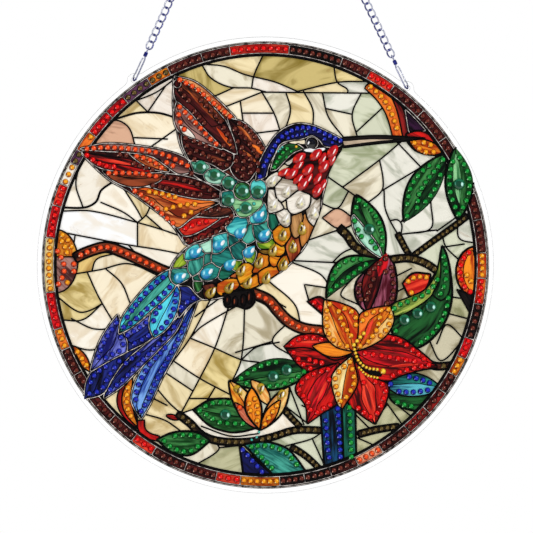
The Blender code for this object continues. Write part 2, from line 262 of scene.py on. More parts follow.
def leaf(base, tip, left, right, bow=0.0, full=0.5, blunt=0.85):
    """Outline and axis of a leaf, feather or petal.

    left and right are its half widths either side of the axis as one looks from base to tip, bow is how far
    the axis bends to the left, full is where it is widest, and blunt below 1 rounds its ends.
    """
    base, tip = np.array(base, float), np.array(tip, float)
    along = tip - base
    side = np.array((-along[1], along[0])) / np.hypot(*along)
    t = np.linspace(0, 1, 25)[:, None]
    axis = base + along * t + side * bow * 4 * t * (1 - t)
    half = np.abs(np.sin(pi * t ** (log(0.5) / log(full)))) ** blunt
    outline = np.vstack([axis[:-1] + side * left * half[:-1], (axis - side * right * half)[:0:-1]])
    return outline, axis


def blob(points, axis=None):
    """A closed smooth outline; the axis runs from its first point to the farthest one unless given."""
    outline = through(points, closed=True)
    if axis is None:
        place = points_of(points)
        far = place[np.argmax(np.hypot(*(place - place[0]).T))]
        axis = [place[0], far]
    return outline, np.array(axis, float)


def band(points, half, taper=1.0):
    """A strip along a smooth line; taper is the share of its half width left at the far end."""
    axis = spaced(through(points), 1.0)
    offset = left_of(np.gradient(axis, axis=0)) * (half * np.linspace(1, taper, len(axis))[:, None])
    return np.vstack([axis + offset, (axis - offset)[::-1]]), axis


def disc(centre, radius, tall=None, steps=None):
    """A round or oval outline."""
    tall = tall or radius
    steps = steps or max(16, round(tau * max(radius, tall) / OUTLINE_STEP))
    angle = np.arange(steps) * tau / steps
    outline = np.stack([centre[0] + radius * np.cos(angle), centre[1] + tall * np.sin(angle)], axis=1)
    return outline, np.array([(centre[0], centre[1] - tall), (centre[0], centre[1] + tall)], float)


def clock(angle, radius):
    """A point at an angle clockwise from the top, in degrees."""
    return radius * np.sin(np.radians(angle)), radius * np.cos(np.radians(angle))


def sector(start, end, low, high):
    """A piece of a ring, its axis along the ring."""
    angles = np.linspace(start, end, max(3, round((end - start) / 0.9)))
    outer, inner, middle = (np.stack(clock(angles, r), axis=1) for r in (high, low, (low + high) / 2))
    return np.vstack([outer, inner[::-1]]), middle


def inside(points, outline):
    """Which points lie in an outline."""
    a, b = outline, np.roll(outline, -1, axis=0)
    x, y = points[:, :1], points[:, 1:]
    crosses = (a[:, 1] > y) != (b[:, 1] > y)
    rise = np.where(b[:, 1] == a[:, 1], 1e-12, b[:, 1] - a[:, 1])
    return (crosses & (x < a[:, 0] + (y - a[:, 1]) * (b[:, 0] - a[:, 0]) / rise)).sum(axis=1) % 2 == 1


def nearest(points, others):
    """The distance from each point to the nearest of some others."""
    best = np.full(len(points), 1e9)
    for start in range(0, len(others), 2000):
        chunk = others[start:start + 2000]
        best = np.minimum(best, np.hypot(*(points[:, None] - chunk[None]).transpose(2, 0, 1)).min(axis=1))
    return best


def along_axis(points, axis):
    """Distance along an axis, and to its left, of each point."""
    start, step = axis[:-1], np.diff(axis, axis=0)
    length = np.maximum(np.hypot(*step.T), 1e-9)
    unit = step / length[:, None]
    rel = points[:, None] - start[None]
    run = (rel * unit).sum(axis=2)
    held = run.copy()
    if len(start) > 1:
        held[:, 0] = np.minimum(run[:, 0], length[0])
        held[:, 1:-1] = np.clip(run[:, 1:-1], 0, length[1:-1])
        held[:, -1] = np.maximum(run[:, -1], 0)
    off = rel - held[:, :, None] * unit
    gap = np.hypot(off[:, :, 0], off[:, :, 1])
    pick = gap.argmin(axis=1)
    rows = np.arange(len(points))
    u = np.concatenate([[0], np.cumsum(length)[:-1]])[pick] + held[rows, pick]
    side = unit[pick, 0] * off[rows, pick, 1] - unit[pick, 1] * off[rows, pick, 0]
    return u, np.where(side < 0, -1, 1) * gap[rows, pick]


# ---------------------------------------------------------------- the drawing

patches = []  # bottom first; each covers the ones before it
cuts = []  # open lines that divide one patch, or the field
rows = []  # wanted rows of small stones


def lay(shape, tone, line="silver", within=None, stones=None, inset=STONE_INSET, middle=None, ribs=0,
        lap=0.0):
    """Lays a patch of glass over the drawing so far, and gives its number.

    stones sets a row of them inside its edge, middle another along its axis. ribs are fine lines along it.
    lap widens it over its neighbours.
    """
    outline, axis = shape
    outline = spaced(outline, OUTLINE_STEP, closed=True)
    x, y = outline.T
    if (x * np.roll(y, -1) - y * np.roll(x, -1)).sum() < 0:
        outline = outline[::-1]
    way = np.roll(outline, -1, axis=0) - np.roll(outline, 1, axis=0)
    outline = outline - left_of(way) * lap
    number = len(patches)
    axis = spaced(axis, 3.0)
    patches.append({
        "outline": outline, "axis": axis, "tone": tone, "line": line, "within": within,
        "seed": number * 1.37, "width": np.ptp(along_axis(outline, axis)[1]),
    })
    if stones:
        rows.append({"patch": number, "kind": stones, "points": rim_row(outline, inset)})
    if middle:
        rows.append({"patch": number, "kind": middle, "points": spaced(axis, STONE_PITCH)[1:-1]})
    for rib in range(ribs):
        offset = (rib + 1) / (ribs + 1)
        cuts.append({"points": rib_line(outline, axis, offset), "line": "fine", "patch": number})
    return number


def cut(points, line="lead", patch=None, past=0.0):
    """A lead line across one patch, its ends drawn on past their points to meet what they stop at."""
    curve = through(points)
    ends = []
    for end, before in ((curve[0], curve[3]), (curve[-1], curve[-4])):
        ends.append(end + (end - before) / np.hypot(*(end - before)) * past)
    curve = np.vstack([ends[0], curve, ends[1]]) if past else curve
    cuts.append({"points": spaced(curve, 1.2), "line": line, "patch": patch})


def row(points, kind, patch=None, size=1.0, pitch=STONE_PITCH, smooth=True):
    """A row of small stones along a line."""
    line = through(points) if smooth else np.array(points, float)
    rows.append({"patch": patch, "kind": kind, "points": spaced(line, pitch * size), "size": size})


def rib_line(outline, axis, share):
    """A line along a leaf at a share of its width."""
    axis = spaced(axis, 1.0)
    slope = np.gradient(axis, axis=0)
    u, v = along_axis(outline, axis)
    edges = []
    for side in (v > 0, v <= 0):
        order = np.argsort(u[side])
        edges.append(np.interp(far_along(axis), u[side][order], v[side][order]))
    high, low = edges
    line = axis + left_of(slope) * (low + (high - low) * share)[:, None]
    keep = slice(round(len(line) * 0.06), round(len(line) * 0.9))
    return np.vstack([axis[0] - slope[0], line[keep], axis[-1] + slope[-1]])


def rim_row(outline, inset):
    """Places at one pitch along a line inside an outline."""
    line = spaced(outline, 0.4, closed=True)
    track = line + left_of(np.roll(line, -2, axis=0) - np.roll(line, 2, axis=0)) * inset
    fits = nearest(track, line) > inset * 0.96
    places, last = [], None
    start = int(np.argmax(~fits)) if (~fits).any() else 0
    for point, fit in zip(np.roll(track, -start, axis=0), np.roll(fits, -start)):
        if fit and (last is None or np.hypot(*(point - last)) >= STONE_PITCH):
            places.append(point)
            last = point
    return np.array(places).reshape(-1, 2)


BORDER = [  # where each piece starts, its glass and its stones
    (-9.4, "scarlet", "red"), (6.3, "jet", "brown"), (20.5, "maroon", "brown"), (28.4, "scarlet", "red"),
    (35.7, "maroon", "brown"), (45.7, "maroon", "brown"), (54.7, "maroon", "brown"),
    (71.0, "maroon", "brown"), (78.0, "maroon", "brown"), (86.8, "flame", "amber"), (93.5, "flame", "red"),
    (100.4, "jet", "brown"), (109.8, "crimson", "red"), (115.2, "orange", "amber"),
    (120.3, "maroon", "brown"), (125.5, "oxblood", "brown"), (132.0, "oxblood", "brown"),
    (139.2, "maroon", "brown"), (147.8, "salmon", "copper"), (155.1, "maroon", "brown"),
    (162.5, "jet", "brown"), (169.6, "jet", "brown"), (176.2, "orange", "amber"), (186.6, "scarlet", "red"),
    (193.1, "maroon", "brown"), (201.6, "maroon", "brown"), (210.9, "scarlet", "red"),
    (217.3, "maroon", "brown"), (225.0, "maroon", "brown"), (233.0, "maroon", "brown"),
    (240.0, "maroon", "brown"), (247.2, "flame", "amber"), (252.9, "crimson", "red"),
    (262.8, "butter", "amber"), (277.2, "crimson", "red"), (285.8, "scarlet", "red"),
    (291.6, "ivory", "amber"), (297.8, "violet", "olive"), (301.5, "flame", "amber"),
    (307.1, "crimson", "red"), (313.9, "crimson", "red"), (319.7, "violet", "olive"),
    (327.6, "orange", "olive"), (333.6, "maroon", "brown"), (343.0, "maroon", "brown"), (350.6, None, None),
]


def draw_border():
    for start, end, tone in ((-95, 0, "pearl"), (0, 130, "tan"), (130, 205, "soot"), (205, 265, "stone")):
        lay(sector(start, end, SEGMENT_RADIUS, RIM_RADIUS), tone, "fine")
    lay(disc((0, 0), SEGMENT_RADIUS + 0.65, steps=600), "soot", "border")
    for (start, tone, stones), (end, _, _) in zip(BORDER, BORDER[1:]):
        number = lay(sector(start, end, INNER_LEAD_RADIUS - RING_LAP, SEGMENT_RADIUS), tone, "border")
        count = round(radians(end - start) * BORDER_STONES_RADIUS / STONE_PITCH)
        angles = start + (np.arange(count) + 0.5) * (end - start) / count
        rows.append({
            "patch": number, "kind": stones, "points": np.stack(clock(angles, BORDER_STONES_RADIUS), axis=1)
        })
    lay(disc((0, 0), INNER_LEAD_RADIUS), "soot", "none")
    return lay(disc((0, 0), FIELD_RADIUS), "ivory", "lead")


FIELD_LINES = [
    # above the bird
    [(-28, 88), (-18, 87), (-9, 83.4), (4, 80.2), (14, 76)],
    [(-28, 88), (-24, 82), (-16, 78), (-6, 77.4), (0, 75.8)],
    [(-1, 92), (-5, 83), (-6, 77.4)],
    [(-22, 74), (-14, 77.6)],
    [(-17, 69.5), (-1.5, 75.7)],
    [(-1.5, 75.7), (48, 75.2)],
    [(14, 76), (31.5, 80), (44, 80.4)],
    [(30, 87), (31.5, 80), (36, 77), (36, 75.3)],
    [(-1.5, 75.7), (4, 66), (6.5, 58.5)],
    [(-11, 71.8), (-9.5, 61)],
    [(-9.6, 66.5), (3.6, 66.5)],
    [(-5, 57.6), (6, 59)],
    [(17, 75.6), (20.8, 68), (20.8, 60.5)],
    [(25, 75.5), (27.5, 65), (34.5, 55.6)],
    [(42, 75.3), (38, 66), (40.3, 56)],
    [(27, 68.4), (38, 66)],
    [(52, 69.5), (40, 58.4)],
    [(9, 75.6), (11, 68), (9, 60)],
    [(54, 88), (50, 81)],
    # upper left
    [(-58, 71.5), (-48, 75.5), (-41, 80.5)],
    [(-51.5, 67), (-44, 78)],
    [(-56.5, 72), (-51.5, 67)],
    [(-37, 61), (-50.5, 51.5)],
    [(-63, 56), (-44, 55.2)],
    # left, between wing and branch
    [(-81.5, 43.5), (-83, 35), (-80, 25.6)],
    [(-89.5, 23.6), (-76, 23.6), (-56, 18.6), (-45, 15.4), (-34, 11.5)],
    [(-71, 27), (-62, 23), (-56, 18.6)],
    [(-56, 18.6), (-52.3, 21.8), (-50.5, 25.5)],
    [(-52.3, 21.8), (-45, 15.4)],
    [(-64, 36.4), (-56, 24), (-54, 20.2)],
    [(-90.5, 14.6), (-76, 11.8), (-60, 8.8), (-46, 6.6), (-38, 5)],
    [(-56, 18.6), (-56, 8)],
    [(-83.3, 13.2), (-84.2, 7)],
    [(-60, 8.8), (-55, 3)],
    # lower left
    [(-84, -4), (-72, -2), (-60, 0.6), (-47, -4.6)],
    [(-76, -2.8), (-74, 2.5), (-66, 5)],
    [(-78, -3.2), (-73, -14), (-66, -26)],
    [(-70, -1.6), (-63, -8), (-59.5, -16)],
    [(-91, -14), (-82, -20.5), (-77, -20), (-71.5, -17)],
    [(-90, -24), (-80, -24), (-71.5, -17)],
    [(-84, -24), (-75, -28), (-65, -27.6)],
    [(-85.5, -35), (-78, -37.2), (-71, -36.6)],
    # below the bird: rays and rings
    [(-24, -15), (-33, -32), (-41, -43)],
    [(-16, -18), (-22, -36), (-30, -52), (-37, -65)],
    [(-9, -17), (-10.5, -41), (-15, -52)],
    [(-11, -17), (-28, -27), (-33, -32)],
    [(-33, -32), (-22, -36.5), (-10.5, -41.5), (-4, -42.5)],
    [(-10.5, -41.5), (-4, -36), (5, -34)],
    [(-41, -41.5), (-29, -49.5), (-14, -57.5)],
    [(-44, -47), (-32, -55)],
    [(-48.5, -53), (-42, -60.5), (-37, -65)],
    [(-37, -65), (-28, -62)],
    [(-33.5, -58.5), (-22, -58.5)],
    [(-54, -65), (-44, -68), (-38, -72)],
    [(-52, -57), (-44, -61)],
    [(-22, -53.5), (-25, -58.6)],
    [(-20, -14.5), (-30, -22)],
    # between belly and leaves
    [(27.5, 38.5), (38, 31.2)],
    [(33.5, 33.8), (50, 46), (59, 53.6)],
    [(50, 46), (51.5, 38), (51, 32.5), (44.5, 27)],
    [(51, 32.5), (66, 41.5)],
    [(58, 53.4), (67, 44)],
    [(52, 32), (52.4, 25), (54.6, 19.4), (58.4, 12.8)],
    [(24.5, 20.8), (32.5, 15.8), (41, 19)],
    [(25, 20.8), (31.5, 24.8), (38.6, 20.5)],
    [(24.5, 27), (31.5, 24.8), (36, 31.5)],
    [(18.5, 10.8), (33, 15.7)],
    [(14, 1.8), (31, 1.0)],
    [(40, 8), (34, 5.4), (29.5, 1.2)],
    [(12, 1), (24, -4), (28, -9)],
    [(2, -7.5), (13, -17.5), (15.5, -27)],
    [(17, -8.5), (27, -10)],
    [(17, -8.5), (19, -15.5)],
    [(-5, -10.5), (8, -18)],
    [(10, -25), (3, -33.5), (12, -40)],
    [(3, -33.5), (-12, -38)],
    [(60, 19.5), (66, 26.6)],
    [(60, 13.5), (74, 15.2)],
    [(72.5, 26.8), (72.5, 16), (60, 13.5)],
    [(84.5, 21.5), (76, 15.5)],
    [(54.6, 19.4), (58, 19.8), (59.8, 17.6), (59.2, 12.4)],
    [(87.5, 22.5), (92.5, 20.5)],
    [(84, 18), (85, 11.5), (92.5, 9.5)],
    [(77.5, 13), (79, 8), (85, 2)],
    [(79, 8), (86, 9)],
    [(81.5, -14), (85, -14.5)],
    [(81, -21.5), (90.5, -24)],
    [(75.5, -33.5), (79.5, -26), (87, -32.5)],
    [(72, -33.5), (77, -42), (87, -32.5)],
    [(63, -9), (57, -12)],
    [(70, -11), (74, -4)],
    [(57, -5), (63, -2)],
    [(40, -4), (33, -13), (40, -17)],
    [(66, -41), (80, -45)],
    [(53.5, -61), (50, -65.5)],
    [(52.8, -60), (60, -70)],
    [(40, -66), (47, -73)],
    [(41, -76), (50, -80)],
    [(56, -60), (66, -68)],
    [(10, -52), (16.5, -69)],
    [(17, -62), (24, -65.5)],
    [(7, -60.5), (18, -69)],
    [(10, -79), (21, -75.8), (27, -71)],
    [(20.5, -76), (26, -88)],
    [(-30, -74), (-20, -80), (-33, -89)],
    [(-20, -80), (-11, -79)],
    [(-27, -71), (-15, -75), (-4, -74)],
]
BOLD_FIELD_LINES = [
    [(-64.5, 64.3), (-56, 66.6), (-47, 66.6), (-39.5, 64.6)],
    [(-89.5, 25.2), (-79, 25.2), (-74, 27.8), (-72, 32.6), (-66.5, 36.6)],
]

# Which pale glass the field has near each place
FIELD_ZONES = {
    "olive": [(-30, 82), (13, 86)],
    "khaki": [(-20, -48), (-82, -14), (-27, -57), (32, 84)],
    "straw": [(-12, 88), (15, 69), (27, 77), (-55, 26), (-34, -24), (-40, -57), (-47, -67), (7, -16),
              (-62, 70)],
    "honey": [(-79, 1)],
    "cream": [(-8, 73), (-60, 10), (-64, -8), (-30, -38), (-46, 11), (-44, 62)],
    "ivory": [(-44, 52), (-66, 28), (-80, 36), (-50, 2), (-74, -28), (-22, -22), (16, -4), (-18, -74.6)],
    "blush": [(-44, 72), (-3, 63), (2, 79)],
    "white": [(-74, 16)],
    "linen": [(6, 68), (30, 65), (-16, 82), (-14, -31), (0, -27), (-36, -48), (27, -14), (12, -30), (40, 32),
              (-29, -82)],
    "sage": [(13, -60), (38, 45), (72, 6), (16, -80), (4, -68), (49, 62), (28, 32), (40, 9)],
    "mist": [(57, 30), (33, 72), (25, 5), (72, 20), (0, -40)],
    "moss": [(46, -74), (85, -18), (-16, -86), (53, -66)],
    "stone": [(64, -6), (80, -31), (74, -42)],
    "rose_tan": [(31, 20)],
}


def draw_field(field):
    for points in FIELD_LINES:
        cut(points, patch=field, past=LINE_PAST)
    for points in BOLD_FIELD_LINES:
        cut(points, "bold", field, LINE_PAST)


def draw_accents(field):
    """The bits of other flowers and leaves at the edge of the field."""
    half = lay(disc((-91.5, 1.7), 9.4, 13.8), "amber", "lead", field, stones="amber")
    lay(blob([(-101, 3.6, 1), (-82, 3.6, 1), (-82, -15, 1), (-101, -15, 1)]), "rosewood", "lead", half,
        stones="copper", inset=1.9)
    row([(-91, 12.4), (-88.6, 9.4), (-87, 5.4)], "amber", half)
    row([(-91, 6), (-88.4, 0.6), (-88.4, -4), (-90.6, -8.4)], "copper")
    half = lay(disc((92.4, -3), 8.9, 11.2), "flame", "bold", field, stones="red")
    lay(leaf((92, -14), (90.5, 7), 3.6, 3.0, bow=1.0), "orange", "fine", half)
    row([(88.5, 1.5), (87.8, -3.5), (90, -7)], "amber", half)
    lay(blob([(83.6, -10.5, 1), (91.5, -13.5, 1), (90.6, -23, 1)]), "soot", "lead", field)
    lay(leaf((-76.5, -46.8), (-84.3, -35.2), 2.5, 2.2), "orange", "lead", field, middle="amber")
    lay(blob([(-75, 52, 1), (-71.5, 58.6), (-65.8, 63.4), (-59.8, 60.2), (-57, 52, 1)]), "rose_tan", "lead",
        field)
    sash = lay(band([(46, 80.4), (52, 74.4), (56.6, 67), (60, 55)], 3.9), ("oxblood", "flame"), "lead",
               field)
    cut([(49, 80.4), (54.6, 74.4), (57.8, 67), (60.2, 56)], "lead", sash)
    row([(46, 78), (51, 73.4), (54.8, 67.4), (58.4, 57)], "amber", sash)
    lay(blob([(60.8, 70.4, 1), (72.5, 59, 1), (62.8, 58, 1)]), "plum", "silver", field)
    tip = lay(blob([(61.5, 57.6, 1), (66.5, 58.8), (73, 58, 1), (79, 49.4, 1), (74, 48.0), (67, 49.4),
                    (62.4, 53.6)]),
              "ruby", "bold", field)
    lay(leaf((62.8, 54.6), (78.2, 49.6), 2.6, 4.2), "orange", "lead", tip, stones="amber", inset=1.5)
    row([(71.6, 56.2), (76, 53)], "amber", tip)
    crescent = lay(leaf((-58.6, -47), (-55.4, -72), 3.8, 4.2, bow=-3.8), "ruby", "lead", field)
    lay(leaf((-57.6, -48), (-55.4, -71.4), 2.6, 2.0, bow=-4.4), "orange", "lead", crescent, middle="amber")
    lay(band([(-54.6, -68), (-54, -72.4), (-50.8, -75), (-46.6, -76)], 1.7, 0.7), "ruby", "lead", field)
    lay(leaf((-37.4, -67.6), (-43.8, -65.8), 1.1, 1.2), "ruby", "lead", field)
    lay(blob([(18.2, -15.9, 1), (23.6, -13.9), (27.2, -16, 1), (25.4, -22, 1)]), "crimson", "bold", field,
        stones="red", inset=1.6)
    bud = lay(blob([(60, -8, 1), (64.6, -3.6), (72.6, -4, 1), (71, -9.4), (67.6, -13.2), (62.8, -14, 1)]),
              "scarlet", "bold", field)
    row([(70.4, -5.4), (65.6, -5.4), (62, -8), (63.9, -12.2)], "amber", bud)


def twig(field, points, half, tone="twig", stones="olive", taper=0.85):
    """A twig with one row of stones along it."""
    number = lay(band(points, half, taper), tone, "bold", field)
    size = min(1.0, 0.62 * half)
    rows.append({
        "patch": number, "kind": stones, "size": size,
        "points": spaced(patches[number]["axis"], STONE_PITCH * size),
    })


def draw_branches(field):
    twig(field, [(32.2, 16.4), (35.8, 13), (38.6, 8.8), (43, 5.8), (49.4, 3)], 1.7)
    twig(field, [(57.8, 13.8), (59.6, 10.4), (61.4, 7), (64, 3)], 1.15)
    twig(field, [(88.6, 21.6), (83.2, 17.4), (72, 9.4), (64.6, 4)], 1.15)
    twig(field, [(50, 1.2), (57, 2.6), (63.4, 2.9), (70.4, 0.6), (76.5, -3.6)], 1.6)
    twig(field, [(-38.6, -65), (-32.9, -69.4), (-27.6, -74.6), (-19.8, -77.2), (-7.5, -77.4), (2, -75.6),
                 (13, -72.4), (24.6, -72.4)], 1.5)
    twig(field, [(6.6, -61.5), (12, -67.6), (15.5, -71)], 1.2)
    twig(field, [(11.3, -79.6), (17.6, -83.6), (24, -89.4)], 1.2)
    twig(field, [(40.6, -74.2), (48.4, -72.2), (58.5, -70.6)], 1.4)
    twig(field, [(67, -40.4), (74, -44.2), (84, -43.6)], 1.6, "umber")
    twig(field, [(-83.6, 3.0), (-77.6, 5.8), (-69.6, 7.8), (-61.6, 5.2), (-53.6, 1.6), (-45, -2.4),
                 (-38, -4.5)],
         2.2, "bark", "copper", 1.0)
    twig(field, [(-12, -10.5), (-5, -12.6), (1.6, -15.6), (5.4, -20), (10, -24.6), (16.8, -27.9),
                 (27, -29.2)],
         2.3, "bark", "copper", 1.0)
    row([(-6, -76.6), (-3.6, -75.2), (-2.8, -73.2)], "aqua", None, 0.5, CLOSE_PITCH)


def two_tone(shape, field):
    """A leaf whose right half, seen from its base, is darker."""
    number = lay(shape, "leaf", "bold", field, stones="green")
    axis = shape[1]
    slope = axis[-1] - axis[0]
    across = np.array((slope[1], -slope[0])) / np.hypot(*slope) * 14
    lay((np.vstack([axis, (axis + across)[::-1]]), axis), "leaf_dark", "fine", number)
    return number


def draw_leaves(field):
    two_tone(leaf((60.6, 18.8), (79.4, 49), 7.4, 5.6), field)
    row([(66.4, 25), (67.4, 31.6), (71.4, 38), (75.6, 43)], "green")
    dark = lay(leaf((51.6, 2.6), (39.4, 31), 6.9, 6.3), ("leaf_dark", "leaf"), "bold", field, stones="green",
               ribs=1)
    lay(blob([(38.6, 22.4, 1), (37, 18), (40, 9), (46, 3.4), (52, 2, 1), (49.6, 8.4), (46, 13.4),
              (42, 18.4)],
             [(39, 23), (51, 3)]), "mint", "silver", dark, stones="green")
    halved = two_tone(leaf((26.6, -14.6), (50, 2.4), 5.2, 4.8, bow=4.8), field)
    cut([(28, -13), (33, -4.6), (41, 0.6), (49.4, 2.2)], "fine", halved)
    big = lay(blob([(77.4, 9, 1), (74.6, -3.6), (70, -10.6), (62, -14.4), (55, -18), (55.6, -30),
                    (62, -35.4), (66.5, -36.4), (73.4, -32), (79.4, -23.6), (81.8, -14), (81.2, -4),
                    (79.6, 4)],
                   [(56, -34), (68, -24), (76, -10), (78, 6)]), ("leaf", "leaf_dark"), "bold", field,
                   stones="green")
    lay(blob([(77, 5, 1), (72, -4), (60, -10), (52, -18), (57, -22.5), (67, -18), (73.4, -12.6), (76.8, -5)],
             [(54, -20), (66, -15), (74, -8), (76, 2)]), "lime", "lead", big)
    lay(blob([(76.6, 9.6, 1), (76.8, 1), (76.4, -6), (73, -13, 1), (77, -15.6), (80.4, -12), (80.8, -4),
              (79.6, 4)],
             [(77, 8), (78, -4), (75, -13)]), "leaf_dark", "lead", big)
    row([(58, -18), (65, -14.4), (71.4, -9.6), (74.6, -4)], "green", big)
    row([(78, 3.6), (79, -2), (78.6, -8), (76.6, -12.6)], "green")
    two_tone(leaf((19.4, -46), (-15, -51.4), 6.2, 7.4, full=0.45), field)
    lay(blob([(-31.8, -63.4, 1), (-24, -59.0), (-13, -59.0), (-6.6, -62), (-2.6, -71, 1), (-10, -73),
              (-16, -73.2), (-24.4, -70.4)], [(-32, -63.4), (-3, -68)]), "leaf", "bold", field,
              stones="green", ribs=1)
    row([(-26, -65.6), (-20, -69), (-10, -69.6)], "green")
    lay(blob([(-47.6, -76.4, 1), (-40, -73.2), (-30, -73.2), (-24, -77, 1), (-32.6, -83.2), (-41, -82)]),
        "leaf", "bold", field, stones="green")
    lay(blob([(-11.4, -79, 1), (-9.6, -92.5, 1), (4, -92.5, 1)]), "midnight", "bold", field)
    lay(blob([(-9.6, -78.6, 1), (-2, -77.4), (4.3, -78.2), (10.6, -81.2), (18.6, -91.5, 1), (8, -93),
              (3.4, -92, 1), (-3, -85.4)], [(-8, -79), (14, -92)]), "teal", "bold", field, stones="green")
    row([(-10, -81), (-1.6, -90.6)], "blue", smooth=False)
    shape = blob([(53.2, -51.2, 1), (62, -47.2), (70, -48.6), (77.4, -53.4, 1), (73.4, -60.6), (68.4, -63.9),
                  (60.4, -62.6), (54.6, -58.6)], [(53, -55), (77, -54)])
    pod = lay(shape, "leaf_dark", "bold", field)
    top = lay(blob([(52.6, -53.6, 1), (57, -48.6), (66, -46), (77.4, -53.4, 1), (70, -57), (60, -57.2)]),
              ("viridian", "lake"), "lead", pod, ribs=1)
    row([(54.8, -52.2), (58, -49.6), (62, -48.9), (66.4, -49.8), (70.4, -51), (74.6, -53)], "blue", top)
    row([(55.4, -54.8), (60, -55.6), (66, -55.6), (71, -54.8)], "blue", top)
    row([(55, -58.6), (60.4, -61.2), (66, -62), (70, -61)], "green", pod)
    stem = lay(blob([(24, -62, 1), (33.4, -60, 1), (34.2, -86, 1), (25.8, -89, 1)], [(29, -60), (30, -88)]),
               "abyss", "bold", field)
    lay(blob([(33.4, -60, 1), (39.4, -60, 1), (39.8, -84, 1), (34.2, -87, 1)], [(36, -60), (37, -88)]),
        "pine", "bold", field)
    row([(26.2, -65), (26.9, -76), (28.2, -87.5)], "blue", stem)
    row([(31.6, -63), (32.2, -72), (32.8, -84)], "blue", stem)
    row([(36.6, -62.5), (37.2, -72), (37.6, -84)], "green")


# Feathers, the hindmost first: outline, glass from left to right along its axis, stones, ribs
UPPER_WING = [
    ([(-0.6, 50.6, 1), (-8, 60.8), (-16.4, 65.4), (-27, 76.4), (-39.6, 82.8, 1), (-40.2, 70), (-38.6, 60),
      (-36.4, 51), (-31.4, 43.6), (-20, 40), (-12, 35.6), (-4, 36.4), (0.6, 42, 1)], "umber", None, 0),
    ([(-39.8, 82.6, 1), (-31, 80.2), (-22, 73.2), (-13, 64.2, 1), (-17.6, 62.2), (-27, 69.6), (-35.6, 77)],
     ("copper", "rust"), None, 1),
    ([(-16.4, 64.2, 1), (-10, 62.4), (-4, 57), (0.4, 50, 1), (0.8, 44), (-3.6, 37.4), (-10, 36.6),
      (-14.4, 40.4), (-15.4, 46), (-12.6, 49), (-13.8, 55.6)], ("maroon", "umber", "maroon"), None, 2),
    ([(-40.2, 82, 1), (-31, 77), (-23.4, 69.6), (-17.4, 63, 1), (-14, 55), (-12.4, 48.6, 1), (-18.6, 50.8),
      (-26.6, 59.6), (-32.8, 67), (-39, 72)], ("umber", "bark", "maroon"), None, 2),
    ([(-36.6, 57.4, 1), (-36.2, 53), (-34, 47.6), (-31, 44), (-19, 41.4), (-14.8, 44), (-14, 48.4, 1),
      (-20, 51.2), (-28, 54.4)], ("umber", "maroon"), None, 1),
    ([(-38.8, 71.4, 1), (-33.4, 66.8), (-27.4, 59.8), (-18.4, 50.6, 1), (-24, 52.6), (-30, 54.8),
      (-36.6, 57.6), (-39.2, 61), (-40, 66)], ("rosewood", "rosewood"), None, 1),
]
LOWER_WING = [
    ([(-12.6, 23, 1), (-22, 13.6), (-35, 9, 1), (-41, 18), (-48, 24), (-60, 32.6), (-69, 38), (-80.6, 49, 1),
      (-70, 51.8), (-50, 50), (-32, 42), (-20, 38.4), (-12.6, 32, 1)], "maroon", None, 0),
    ([(-36.4, 12, 1), (-30, 14.6), (-20, 20.2), (-14, 23.4, 1), (-13.6, 19.4), (-18, 14.6), (-26, 10.4),
      (-33.6, 8.8)],
     ("maroon", "oxblood"), None, 1),
    ([(-38.4, 16, 1), (-33, 19.8), (-24, 21.2), (-19.6, 20.6, 1), (-27.6, 15.4), (-35, 12.8)], "scarlet",
     None, 0),
    ([(-31.4, 21.6, 1), (-26, 25), (-20, 28.2), (-13.8, 26.4, 1), (-13.2, 23.2), (-20, 21)], "umber", None,
     0),
    ([(-59.2, 34.4, 1), (-52, 34), (-44, 32), (-34, 30.2), (-20, 27.4, 1), (-28, 23.4), (-33, 20.2),
      (-38.4, 16.4), (-42, 19.4), (-46.6, 23.8), (-49.4, 27.4), (-55.6, 30.2)], ("orange", "flame", "rust"),
      None, 2),
    ([(-53, 35.4, 1), (-46, 39.4), (-38, 39.2), (-28, 36.6), (-19.6, 32, 1), (-20, 29.4), (-28, 29),
      (-40, 31.2)],
     ("maroon", "oxblood", "maroon"), None, 2),
    ([(-71.4, 41.2, 1), (-62, 41.8), (-50, 41.2), (-43.4, 39.4, 1), (-48, 36), (-56, 34.2), (-62, 35),
      (-67.4, 37.6)],
     ("rust", "bark"), None, 1),
    ([(-80.4, 49.8, 1), (-70, 50), (-59.4, 49), (-54, 46), (-45.6, 40.8, 1), (-55, 40.6), (-66, 41.4),
      (-72.4, 42.8), (-77.4, 46)], ("maroon", "oxblood", "ruby"), None, 2),
    ([(-59.6, 48.8, 1), (-50, 48), (-43, 43.4), (-42, 40.8, 1), (-50, 42.4), (-55.4, 45.4)],
     ("copper", "rust"), None, 1),
    ([(-81.2, 50.8, 1), (-70, 53), (-57, 52.2), (-45, 50.2), (-34.6, 46.4), (-31, 41, 1), (-38, 40),
      (-43.4, 43.6), (-50, 47.8), (-60, 49.4), (-70, 50)], "rosewood", None, 1),
]
